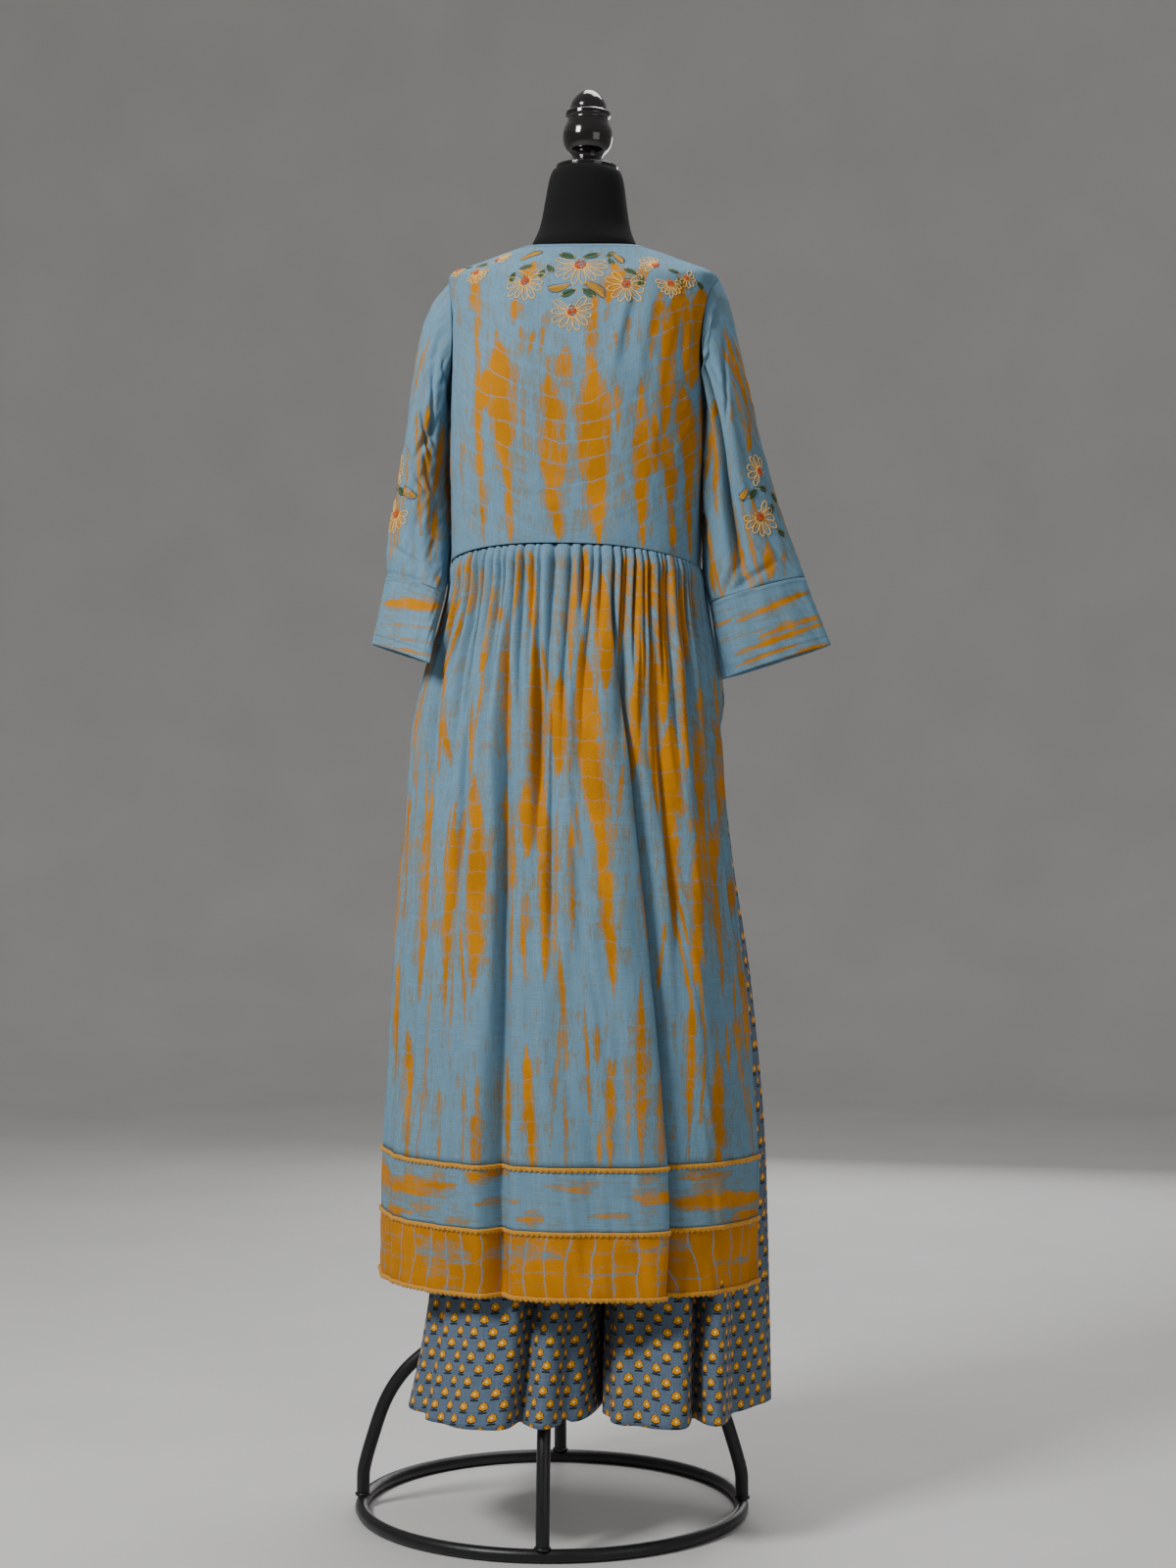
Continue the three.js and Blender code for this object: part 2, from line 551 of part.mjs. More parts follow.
// Angle of a panel's edge at a height: at the side seam, then drawn back along the slit.
const SLIT_OPENING = { backRight: 12, backLeft: 5, frontRight: 22, frontLeft: 5 };

function panelEdge(corner, z) {
  return 90 - 0.08 - SLIT_OPENING[corner] * smooth(SLIT_TOP + 5, SLIT_TOP - 110, z);
}

function skirtSurface(front) {
  return (s, drop) => {
    const corner = (front ? 'front' : 'back') + ((s > 0) !== front ? 'Right' : 'Left');
    const below = WAIST_BACK - drop;
    const theta = (front ? 180 : 0) + s * panelEdge(corner, below);
    const fade = smooth(BAND.top, WAIST_BACK, below);
    return skirtPoint(theta, below + (waistHeight(theta) - WAIST_BACK) * fade);
  };
}

function panelNormal(surface) {
  return (s, drop) => {
    const across = surface(Math.min(s + 0.004, 1), drop).sub(surface(Math.max(s - 0.004, -1), drop));
    return across.cross(surface(s, drop - 3).sub(surface(s, drop + 3))).normalize();
  };
}

function skirtPanel(front, columns, drops) {
  const surface = skirtSurface(front);
  return clothWall(surface, panelNormal(surface), spread(-1, 1, columns), drops);
}

function dropTo(z) {
  return WAIST_BACK - z;
}

// A trim lies on the top or the bottom of a band, on the band's own columns.
function trimStrip(front, z) {
  const surface = skirtSurface(front);
  const normal = panelNormal(surface);
  const raised = (s, drop) => surface(s, drop).addScaledVector(normal(s, drop), TRIM.lift + TRIM.depth);
  const rows = [dropTo(z), dropTo(z - TRIM.height)];
  return clothWall(raised, normal, spread(-1, 1, BAND_COLUMNS), rows, { wall: TRIM.depth });
}

for (const [name, front, columns] of [['back', false, 3 * GATHERS_BACK], ['front', true, 3 * GATHERS_FRONT]]) {
  const half = SEAM_GAP / 2;
  const skirtRows = [0.4, 36, 100, 220, 380, 560, dropTo(BAND.top + half)];
  add(`skirt_${name}`, skirtPanel(front, columns, skirtRows), 'cloth');
  add(`band_upper_${name}`, skirtPanel(front, BAND_COLUMNS, [dropTo(BAND.top - half), dropTo(BAND.middle + half)]), 'cloth');
  add(`band_lower_${name}`, skirtPanel(front, BAND_COLUMNS, [dropTo(BAND.middle - half), dropTo(BAND.bottom)]), 'cloth');
  add(`trim_top_${name}`, trimStrip(front, BAND.top - half - 0.2), 'trim');
  add(`trim_middle_${name}`, trimStrip(front, BAND.middle - half - 0.2), 'trim');
  add(`trim_hem_${name}`, trimStrip(front, BAND.bottom + TRIM.height), 'trim');
}

// ---- trousers ---------------------------------------------------------------------------------
// Height that a hem needs to lie over the stand's bars at a point.
function overArches(x, y) {
  const radius = Math.hypot(x, y);
  const azimuth = Math.atan2(y, x) - STAND_YAW;
  const nearest = Math.round(azimuth / (Math.PI / 2)) * (Math.PI / 2);
  const aside = Math.abs(radius * Math.sin(azimuth - nearest));
  const top = at([...ARCH].reverse(), 'radius', 'z', THREE.MathUtils.clamp(radius, 21, 231)) + BAR / 2 + ARCH_CLEARANCE;
  return { top, weight: 1 - smooth(ARCH_NOTCH.flat, ARCH_NOTCH.spread, aside) };
}

// A leg's outside: angle 0 at its back, 90 at the outseam, 180 at the front, 270 at the inseam.
function legPoint(rows, folds, side, phi, z) {
  const value = (column) => at(rows, 'z', column, z);
  const middleX = (value('outer') + value('inner')) / 2;
  const middleY = (value('back') + value('front')) / 2;
  const halfX = Math.abs(value('outer') - value('inner')) / 2;
  const halfY = (value('front') - value('back')) / 2;
  const angle = rad(phi);
  const exponent = 2 / (Math.sin(angle) < 0 ? LEG_POWER.inner : LEG_POWER.outer);
  const inward = folds.reduce((sum, fold) => {
    const away = ((phi - fold.angle + 540) % 360) - 180;
    return sum + fold.depth * smooth(fold.top, TROUSER.hem, z) * Math.exp(-((away / fold.spread) ** 2));
  }, 0);
  const x = side * halfX * power(Math.sin(angle), exponent);
  const y = -halfY * power(Math.cos(angle), exponent);
  const scale = 1 - inward / Math.hypot(x, y);
  const leg = new THREE.Vector3(middleX + x * scale, middleY + y * scale, z);
  // Above the crotch a half of the leg's round becomes a quarter of the hips.
  const joined = smooth(TROUSER.crotch, TROUSER.crotchTop, z);
  if (joined === 0) return leg;
  const facesBack = phi > -90 && phi <= 90;
  const across = facesBack ? (phi + 90) / 2 : 180 - (270 - phi) / 2;
  const hipAngle = rad(across);
  const hipX = value('inner') + side * 2 * halfX * power(Math.sin(hipAngle), 2 / HIP_POWER);
  const hipY = middleY - halfY * power(Math.cos(hipAngle), 2 / HIP_POWER);
  return leg.lerp(new THREE.Vector3(hipX, hipY, z), joined);
}

function trouserPanel(rows, folds, side, front) {
  const from = front ? 90 : -90;
  const seam = 0.15;
  const surface = (s, t) => {
    const phi = mix(from + seam, from + 180 - seam, s);
    let hem = TROUSER.hem;
    for (let pass = 0; pass < HEM_PASSES; pass += 1) {
      const point = legPoint(rows, folds, side, phi, hem);
      const { top, weight } = overArches(point.x, point.y);
      hem = TROUSER.hem + Math.max(0, top - TROUSER.hem) * weight;
    }
    return legPoint(rows, folds, side, phi, mix(TROUSER.bandBottom - SEAM_GAP, hem, t));
  };
  const normal = (s, t) => {
    const across = surface(Math.min(s + 0.004, 1), t).sub(surface(Math.max(s - 0.004, 0), t));
    const down = surface(s, Math.min(t + 0.004, 1)).sub(surface(s, Math.max(t - 0.004, 0)));
    return across.cross(down).multiplyScalar(-side).normalize();
  };
  return clothWall(surface, normal, spread(0, 1, 20), [0, 0.14, 0.226, 0.27, 0.32, 0.5, 0.7, 0.87, 1]);
}

function waistband() {
  return clothWall(waistbandPoint, waistbandNormal, formAngles(), [TROUSER.waist, TROUSER.bandBottom], { closed: true });
}

for (const [name, side, rows, folds] of [['right', 1, LEG_RIGHT, LEG_FOLDS_RIGHT], ['left', -1, LEG_LEFT, LEG_FOLDS_LEFT]]) {
  add(`trouser_back_${name}`, trouserPanel(rows, folds, side, false), 'trousers');
  add(`trouser_front_${name}`, trouserPanel(rows, folds, side, true), 'trousers');
}
add('trouser_waistband', waistband(), 'trousers');

export default kurtiSet;
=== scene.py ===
import math

import bmesh
import bpy
import numpy as np
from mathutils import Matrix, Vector


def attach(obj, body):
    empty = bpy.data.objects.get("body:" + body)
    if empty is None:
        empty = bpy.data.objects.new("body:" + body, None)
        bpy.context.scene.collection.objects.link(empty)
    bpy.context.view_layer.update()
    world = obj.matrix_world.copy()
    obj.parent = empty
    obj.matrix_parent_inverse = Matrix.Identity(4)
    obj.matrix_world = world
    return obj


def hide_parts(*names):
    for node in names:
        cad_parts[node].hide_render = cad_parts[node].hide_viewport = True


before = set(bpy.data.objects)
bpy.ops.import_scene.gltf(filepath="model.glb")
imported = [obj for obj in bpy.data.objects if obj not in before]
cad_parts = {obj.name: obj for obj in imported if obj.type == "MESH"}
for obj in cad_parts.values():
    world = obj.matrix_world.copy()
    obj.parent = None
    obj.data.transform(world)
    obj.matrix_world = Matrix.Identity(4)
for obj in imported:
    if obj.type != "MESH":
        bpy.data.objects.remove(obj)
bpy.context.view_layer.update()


# ---- camera, floor and light ------------------------------------------------------------------
# A camera at chest height behind the set, a little to its right, and a pale studio floor.
# Four soft boxes: a key from the left, a weak fill from the right, one overhead and one beyond the set.
CAMERA_PLACE = (0.4939, -3.1538, 0.852)
CAMERA_YAW, CAMERA_TILT = math.radians(9), math.radians(0.588)
LIT_POINT = Vector((0, 0, 0.85))
# Name, place, side of the box in metres, power in watts.
SOFT_BOXES = (
    ("key", (-1.5, -2.0, 2.75), 0.8, 100), ("fill", (2.6, -2.2, 1.5), 1.8, 14),
    ("top", (0.2, 0.9, 3.3), 1.4, 45), ("behind", (0.3, 3.0, 1.4), 2.0, 26))


def aim(thing, place, direction):
    """Stands a camera or light at place, looking along direction."""
    thing.location = place
    thing.rotation_euler = Vector(direction).to_track_quat("-Z", "Y").to_euler()
    bpy.context.scene.collection.objects.link(thing)


lens = bpy.data.cameras.new("camera")
lens.lens = 60
lens.sensor_fit = "VERTICAL"
lens.sensor_height = 36
camera = bpy.data.objects.new("camera", lens)
aim(camera, CAMERA_PLACE, (-math.sin(CAMERA_YAW), math.cos(CAMERA_YAW), math.tan(CAMERA_TILT)))
bpy.context.scene.camera = camera

for name, place, size, power in SOFT_BOXES:
    box = bpy.data.lights.new(name, "AREA")
    box.size = size
    box.energy = power
    aim(bpy.data.objects.new(name, box), place, LIT_POINT - Vector(place))

world = bpy.data.worlds.new("studio")
world.use_nodes = True
air = world.node_tree.nodes["Background"].inputs
air["Color"].default_value = (0.62, 0.61, 0.6, 1)
air["Strength"].default_value = 0.44
bpy.context.scene.world = world


class Look:
    """A material being built: a Principled shader, and short calls that place and join nodes."""

    def __init__(self, name, roughness=0.8, metallic=0.0, colour=(0.5, 0.5, 0.5), **sockets):
        self.material = bpy.data.materials.new(name)
        self.material.use_nodes = True
        self.tree = self.material.node_tree
        self.shader = self.tree.nodes["Principled BSDF"]
        self.shader.inputs["Roughness"].default_value = roughness
        self.shader.inputs["Metallic"].default_value = metallic
        self.shader.inputs["Base Color"].default_value = (*colour, 1)
        for socket, value in sockets.items():
            self.shader.inputs[socket.replace("_", " ")].default_value = value

    def node(self, kind, values=None, **settings):
        """Places a node, sets its properties, and sets or joins its inputs by name or number."""
        made = self.tree.nodes.new(kind)
        for key, value in settings.items():
            setattr(made, key, value)
        for socket, value in (values or {}).items():
            if isinstance(value, bpy.types.NodeSocket):
                self.tree.links.new(value, made.inputs[socket])
            else:
                made.inputs[socket].default_value = value
        return made

    def math(self, operation, *values):
        return self.node("ShaderNodeMath", dict(enumerate(values)), operation=operation).outputs[0]

    def total(self, *values):
        """The sum of the values given."""
        made = values[0]
        for value in values[1:]:
            made = self.math("ADD", made, value)
        return made

    def about(self, value, middle, spread):
        """How far value stands from the middle, times spread."""
        return self.math("MULTIPLY", self.math("SUBTRACT", value, middle), spread)

    def step(self, value, low, high):
        """Smoothly 0 to 1 as value goes from low to high."""
        ends = {"Value": value, "From Min": low, "From Max": high}
        return self.node("ShaderNodeMapRange", ends, interpolation_type="SMOOTHSTEP").outputs[0]

    def mix(self, amount, first, second):
        """Colour that goes from first to second by amount."""
        made = self.node("ShaderNodeMix", {0: amount}, data_type="RGBA")
        for socket, value in ((6, first), (7, second)):
            if isinstance(value, bpy.types.NodeSocket):
                self.tree.links.new(value, made.inputs[socket])
            else:
                made.inputs[socket].default_value = (*value, 1)
        return made.outputs[2]

    def noise(self, vector, scale, detail=2.0, roughness=0.5, stretch=None):
        if stretch:
            vector = self.node("ShaderNodeMapping", {"Vector": vector, "Scale": stretch}).outputs[0]
        grain = {"Vector": vector, "Scale": scale, "Detail": detail, "Roughness": roughness}
        return self.node("ShaderNodeTexNoise", grain).outputs[0]

    def place(self):
        """Object coordinates, in metres."""
        return self.node("ShaderNodeTexCoord").outputs["Object"]

    def flat(self):
        """The cloth's own coordinates: metres across and down the flat piece."""
        return self.node("ShaderNodeUVMap", uv_map="cut").outputs[0]

    def colour(self, value):
        self.tree.links.new(value, self.shader.inputs["Base Color"])

    def rough(self, value):
        self.tree.links.new(value, self.shader.inputs["Roughness"])

    def bump(self, height, distance, strength=1.0):
        made = self.node("ShaderNodeBump", {"Height": height, "Distance": distance, "Strength": strength})
        self.tree.links.new(made.outputs[0], self.shader.inputs["Normal"])


floor_look = Look("studio_floor", roughness=0.85, colour=(0.55, 0.55, 0.54))
floor_look.colour(floor_look.mix(floor_look.noise(floor_look.place(), 3.0, 4), (0.5, 0.5, 0.49), (0.6, 0.595, 0.585)))
floor_mesh = bpy.data.meshes.new("floor")
# Level to 4.5 m out, then a cove that curves up all round, so that no horizon shows.
FLOOR_SIDES, FLOOR_LEVEL, COVE_RADIUS, WALL_TOP = 96, 4.5, 2.0, 4.2
cove = np.radians(np.linspace(0, 90, 14))
reach = np.concatenate([[0.01, 2.5], FLOOR_LEVEL + COVE_RADIUS * np.sin(cove), [FLOOR_LEVEL + COVE_RADIUS]])[:, None]
height = np.concatenate([[0, 0], COVE_RADIUS * (1 - np.cos(cove)), [WALL_TOP]])[:, None]
way = np.linspace(0, 2 * np.pi, FLOOR_SIDES, endpoint=False)
floor_points = np.stack([reach * np.cos(way), reach * np.sin(way), height + 0 * way], -1)
j, i = (axis.ravel() for axis in np.meshgrid(np.arange(len(reach) - 1), np.arange(FLOOR_SIDES), indexing="ij"))
here, beside = j * FLOOR_SIDES + i, j * FLOOR_SIDES + (i + 1) % FLOOR_SIDES
floor_faces = np.stack([here, here + FLOOR_SIDES, beside + FLOOR_SIDES, beside], 1).tolist()
floor_faces.append(list(range(FLOOR_SIDES)))
floor_mesh.from_pydata(floor_points.reshape(-1, 3).tolist(), [], floor_faces)
floor_mesh.polygons.foreach_set("use_smooth", [True] * len(floor_mesh.polygons))
floor_mesh.materials.append(floor_look.material)
floor = bpy.data.objects.new("floor", floor_mesh)
bpy.context.scene.collection.objects.link(floor)


# ---- stand ------------------------------------------------------------------------------------
# A ring and four arched legs of 16 mm round bar, welded to a hub with a short post for the form.
# Mild steel, brushed with satin black paint.
SET_CENTRE = 50.0                # millimetres from the stand's axis to the middle of the set


def rows(columns, numbers):
    """A table as named arrays, sorted by its first column."""
    array = np.array(numbers, float)
    array = array[np.argsort(array[:, 0], kind="stable")]
    return dict(zip(columns.split(), array.T))


def along(table, column, key):
    """Smooth value of a column at key: cubic pieces through every row, each tangent the harmonic
    mean of the slopes on its two sides, or zero where they differ in sign."""
    keys = next(iter(table.values()))
    values = table[column]
    slopes = np.diff(values) / np.diff(keys)
    before, after = slopes[:-1], slopes[1:]
    both = np.where(before * after > 0, before + after, 1.0)
    inner = np.where(before * after > 0, 2 * before * after / both, 0.0)
    i = np.clip(np.searchsorted(keys, key, side="right") - 1, 0, len(keys) - 2)
    span = keys[i + 1] - keys[i]
    t = np.clip((key - keys[i]) / span, 0, 1)
    # An end row takes the slope of its own piece.
    start = np.concatenate([slopes[:1], inner, slopes[-1:]])[i]
    end = np.concatenate([slopes[:1], inner, slopes[-1:]])[i + 1]
    return ((2 * t**3 - 3 * t**2 + 1) * values[i] + (t**3 - 2 * t**2 + t) * span * start
            + (3 * t**2 - 2 * t**3) * values[i + 1] + (t**3 - t**2) * span * end)


def smooth(low, high, x):
    """0 at low to 1 at high, level at both ends."""
    t = np.clip((x - low) / (high - low), 0, 1)
    return t * t * (3 - 2 * t)


def mix(a, b, t):
    return a + (b - a) * t


def signed_power(value, exponent):
    return np.sign(value) * np.abs(value) ** exponent


def unit(vectors):
    return vectors / np.maximum(np.linalg.norm(vectors, axis=-1, keepdims=True), 1e-9)


def normals_of(points, closed=False):
    """Unit normals of a grid of points: the cross product of its steps along and down."""
    if closed:
        wide = np.concatenate([points[:, -1:], points, points[:, :1]], axis=1)
        across = (wide[:, 2:] - wide[:, :-2]) / 2
    else:
        across = np.gradient(points, axis=1)
    down = np.gradient(points, axis=0)
    return unit(np.cross(across, down))


def outward_of(points, centre, closed=False):
    """Unit normals of a grid, all on the side that points away from the centre."""
    n = normals_of(points, closed)
    return n * np.sign((n * (points - centre)).sum())


def mesh_of(name, vertices, loops, totals, looks):
    """A smooth mesh from vertices in millimetres from the stand's axis, the vertex number at each
    face's corners, and each face's count of corners."""
    mesh = bpy.data.meshes.new(name)
    mesh.vertices.add(len(vertices))
    mesh.vertices.foreach_set("co", ((vertices - (SET_CENTRE, 0, 0)) / 1000).astype(np.float32).ravel())
    mesh.loops.add(len(loops))
    mesh.loops.foreach_set("vertex_index", loops.astype(np.int32))
    mesh.polygons.add(len(totals))
    mesh.polygons.foreach_set("loop_start", (np.cumsum(totals) - totals).astype(np.int32))
    mesh.polygons.foreach_set("loop_total", totals.astype(np.int32))
    mesh.polygons.foreach_set("use_smooth", np.ones(len(totals), bool))
    for look in looks:
        mesh.materials.append(look.material)
    return mesh


def placed(name, mesh):
    """The finished mesh as an object at the origin, riding on the set's one body."""
    mesh.update(calc_edges=True)
    mesh.validate()
    made = bpy.data.objects.new(name, mesh)
    bpy.context.scene.collection.objects.link(made)
    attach(made, "root")
    return made


def piece(name, points, look, nodes=(), closed=False, capped=False, wall=0.0, outward=None, cut=None,
          marks=None):
    """A grid of points, rows down and columns across, as a mesh object in the shared frame. Closed
    grids join their last column to the first; capped ones are shut by a fan at each end. outward is
    the point that the faces point away from, wall the cloth's thickness, cut its flat coordinates."""
    down, across = points.shape[:2]
    flat = points.reshape(-1, 3)
    i, j = (axis.ravel() for axis in np.meshgrid(np.arange(across if closed else across - 1), np.arange(down - 1)))
    right = (i + 1) % across
    faces = np.stack([j * across + i, j * across + right, (j + 1) * across + right, (j + 1) * across + i], 1)
    centre = flat.mean(0) if outward is None else np.array(outward, float)
    corners = flat[faces]
    facing = np.cross(corners[:, 1] - corners[:, 0], corners[:, 3] - corners[:, 0])
    inside_out = (facing * (corners.mean(1) - centre)).sum() < 0
    way = slice(None, None, -1 if inside_out else 1)
    loops, totals = faces[:, way].ravel(), np.full(len(faces), 4)
    if capped:
        ends = [flat[:across].mean(0), flat[-across:].mean(0)]
        flat = np.vstack([flat, ends])
        k = np.arange(across)
        nxt = (k + 1) % across
        last = (down - 1) * across
        fans = np.concatenate([
            np.stack([nxt, k, np.full(across, len(flat) - 2)], 1),
            np.stack([last + k, last + nxt, np.full(across, len(flat) - 1)], 1)])
        loops = np.concatenate([loops, fans[:, way].ravel()])
        totals = np.concatenate([totals, np.full(len(fans), 3)])
    mesh = mesh_of(name, flat, loops, totals, [look])
    if cut is not None:
        # Corner by corner, so that a closed tube's last column doesn't run back over the cloth.
        start = j * cut.shape[1] + i
        order = np.stack([start, start + 1, start + cut.shape[1] + 1, start + cut.shape[1]], 1)[:, way]
        layer = mesh.uv_layers.new(name="cut")
        layer.data.foreach_set("uv", cut.reshape(-1, 2)[order.ravel()].astype(np.float32).ravel())
    for mark, values in (marks or {}).items():
        mesh.attributes.new(mark, "FLOAT", "POINT").data.foreach_set("value", values.astype(np.float32).ravel())
    made = placed(name, mesh)
    if wall:
        shell = made.modifiers.new("cloth_thickness", "SOLIDIFY")
        shell.thickness = wall / 1000
        shell.offset = -1
        shell.use_even_offset = False
    if nodes:
        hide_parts(*nodes)
    return made


def tube(path, radius, sides=24):
    """Rings of a round bar: a circle of that radius carried along the path, turned as little as
    the path allows, and square to it."""
    path = np.array(path, float)
    ahead = unit(np.gradient(path, axis=0))
    side = [unit(np.cross(ahead[0], (0.3, 0.8, 0.5)))]
    for direction in ahead[1:]:
        side.append(unit(side[-1] - direction * np.dot(side[-1], direction)))
    side = np.array(side)
    other = np.cross(ahead, side)
    turn = np.linspace(0, 2 * np.pi, sides, endpoint=False)
    return path[:, None] + radius * (side[:, None] * np.cos(turn)[:, None] + other[:, None] * np.sin(turn)[:, None])


def turned(radius, z, sides=64):
    """Rings of a turned piece: each radius at its height, round the stand's axis."""
    turn = np.linspace(0, 2 * np.pi, sides, endpoint=False)
    radius, z = np.asarray(radius, float)[:, None], np.asarray(z, float)[:, None]
    return np.stack([radius * np.cos(turn), radius * np.sin(turn), z + 0 * turn], -1)


BAR = 16.0                       # thickness of the bars
RING_RADIUS = 239.4              # to the outside of the ring
STAND_YAW = math.radians(7.1)    # how far the arches stand turned from the wearer's axes
ARCH = rows("step radius z", [
    [0, 231.4, 16.4], [1, 231.2, 40], [2, 218, 92], [3, 203, 133], [4, 183, 164], [5, 150, 194], [6, 100, 224],
    [7, 62, 243], [8, 38, 251], [9, 20.8, 252]])

paint = Look("black_paint", roughness=0.36, metallic=0.3, colour=(0.012, 0.012, 0.013))
brushed = paint.noise(paint.place(), 60, 4, 0.6)
paint.rough(paint.node("ShaderNodeMapRange", {"Value": brushed, "To Min": 0.26, "To Max": 0.5}).outputs[0])
paint.bump(brushed, 0.0004)

circle = np.linspace(0, 2 * np.pi, 160, endpoint=False)
round_bar = np.linspace(0, 2 * np.pi, 20, endpoint=False)
ring_reach = RING_RADIUS - BAR / 2 + BAR / 2 * np.cos(round_bar)[None, :]
ring_points = np.stack([
    ring_reach * np.cos(circle)[:, None], ring_reach * np.sin(circle)[:, None],
    BAR / 2 + BAR / 2 * np.sin(round_bar)[None, :] + 0 * circle[:, None]], -1)
# The ring's rows are closed too: the last section is the first one again.
ring_points = np.concatenate([ring_points, ring_points[:1]])


def steel(name, points, nodes=(), capped=True):
    """A painted piece of the stand. Doubled points are merged, as where the ring's last section lies
    on its first, and its faces look outwards."""
    made = piece(name, points, paint, nodes, closed=True, capped=capped)
    work = bmesh.new()
    work.from_mesh(made.data)
    bmesh.ops.remove_doubles(work, verts=work.verts, dist=1e-6)
    bmesh.ops.recalc_face_normals(work, faces=work.faces)
    work.to_mesh(made.data)
    work.free()


steel("stand_ring_bar", ring_points, ["stand_ring"], capped=False)
arch_steps = np.linspace(0, 9, 60)
bead = np.linspace(0, 2 * np.pi, 8, endpoint=False)[:, None]
WELD_BEAD, WELD_SINK = 2.2, 0.2
lift = np.array([0, 0, 1.0])
for turn, name in enumerate(("right", "front", "left", "rear")):
    azimuth = STAND_YAW + turn * math.pi / 2
    toward = np.array([math.cos(azimuth), math.sin(azimuth), 0])
    aside = np.array([-math.sin(azimuth), math.cos(azimuth), 0])
    path = along(ARCH, "radius", arch_steps)[:, None] * toward + along(ARCH, "z", arch_steps)[:, None] * lift
    steel(f"stand_bar_{name}", tube(path, BAR / 2), [f"stand_leg_{name}"])
    # A lumpy bead of weld round the foot of each bar, and one where it enters the hub.
    lump = WELD_BEAD * (1 + 0.12 * np.sin(9 * round_bar + turn)[None, :])
    out, up = (BAR / 2 - WELD_SINK + lump * np.cos(bead))[..., None], (lump * np.sin(bead))[..., None]
    for place, spot, first, second, axis in (("foot", 0, toward, aside, lift), ("hub", -1, aside, lift, toward)):
        round_it = first * np.cos(round_bar)[:, None] + second * np.sin(round_bar)[:, None]
        grid = path[spot] + out * round_it + up * axis
        steel(f"weld_{place}_{name}", np.concatenate([grid, grid[:1]]), capped=False)

HUB_TOP = 278.0
hub_radius = [0.5, 17, 19, 20, 20, 20, 19, 17, 0.5]
hub_height = [238, 238, 238.5, 240, 258, 276, 277.5, HUB_TOP, HUB_TOP]
steel("stand_hub_boss", turned(hub_radius, hub_height, 48), ["stand_hub"])

FORM_LEAN = math.radians(1.5)
TORSO_BOTTOM, POST_RADIUS = 900.0, 13


def lean(x, y, z):
    """A point of the leaning form, turned about the stand's foot to the wearer's right."""
    x, y, z = np.broadcast_arrays(np.asarray(x, float), y, z)
    c, d = math.cos(FORM_LEAN), math.sin(FORM_LEAN)
    return np.stack([x * c + z * d, y, z * c - x * d], -1)


post_path = np.linspace((0, 0, HUB_TOP + 1), lean(0, 0, TORSO_BOTTOM - 0.8), 12)
steel("stand_post_tube", tube(post_path, POST_RADIUS, 32), ["stand_post"])


# ---- dress form ---------------------------------------------------------------------------------
# A limbless torso of foam under black cotton jersey, with a covered neck.
# The cover is pulled tight, with no seam in sight.
BODICE = rows("v zBack zFront zSide halfWidth back front power armhole", [
    [0.00, 1168, 1166, 1150, 152.0, 116, 112, 2.50, 90],
    [0.22, 1238, 1236, 1222, 153.5, 120, 120, 2.50, 90],
    [0.42, 1302, 1300, 1290, 156.0, 124, 131, 2.50, 90],
    [0.60, 1362, 1356, 1366, 156.5, 124, 132, 2.50, 90],
    [0.66, 1386, 1376, 1392, 157.0, 122, 126, 2.45, 74],
    [0.74, 1417, 1404, 1426, 159.0, 118, 117, 2.40, 70],
    [0.82, 1448, 1430, 1462, 162.0, 113, 106, 2.35, 71],
    [0.88, 1472, 1450, 1488, 164.5, 106, 96, 2.30, 76],
    [0.92, 1488, 1462, 1504, 165.5, 100, 88, 2.25, 90],
    [0.96, 1509, 1476, 1523, 122.0, 85, 82, 2.15, 90],
    [1.00, 1532, 1492, 1541, 75.0, 70, 76, 2.00, 90]])
WALL = 1.4                       # the bodice cloth in the solids
FORM_CLEARANCE = 1.8             # between the cloth and the form
SEAM_GAP = 0.3
HIP = rows("z halfWidth halfDepth", [
    [1150, 134, 101], [1092, 130.5, 99], [1000, 132, 100], [950, 130, 98], [920, 120, 90], [905, 100, 72],
    [900, 70, 46]])
NECK = rows("z radius", [
    [1534.3, 66], [1543, 64.5], [1552, 60.5], [1564, 56], [1578, 53], [1600, 49.5], [1622, 46], [1634, 42],
    [1637, 38]])


def bodice_point(theta, v):
    """The bodice at an angle from the centre back and a fraction of the way up: a superellipse whose
    half sizes and heights follow the table, higher or lower at the centre than at the sides."""
    theta, v = np.broadcast_arrays(np.asarray(theta, float), v)
    angle = np.radians(theta)
    exponent = 2 / along(BODICE, "power", v)
    centre_height, depth = (
        np.where(np.cos(angle) >= 0, along(BODICE, back, v), along(BODICE, front, v))
        for back, front in (("zBack", "zFront"), ("back", "front")))
    return lean(
        along(BODICE, "halfWidth", v) * signed_power(np.sin(angle), exponent),
        -depth * signed_power(np.cos(angle), exponent),
        mix(along(BODICE, "zSide", v), centre_height, np.abs(np.cos(angle)) ** 1.6))


def bodice_normal(theta, v):
    around = bodice_point(theta + 1, v) - bodice_point(theta - 1, v)
    up = bodice_point(theta, np.minimum(v + 0.004, 1)) - bodice_point(theta, np.maximum(v - 0.004, 0))
    return unit(np.cross(around, up))


jersey = Look("black_jersey", roughness=0.95, colour=(0.003, 0.003, 0.0034),
              Sheen_Weight=0.02, Sheen_Roughness=0.5, Specular_IOR_Level=0.25)
jersey.colour(jersey.mix(jersey.noise(jersey.place(), 14, 3), (0.002, 0.002, 0.0022), (0.0045, 0.0045, 0.005)))
jersey.bump(jersey.noise(jersey.place(), 900, 2, 0.6), 0.0004)

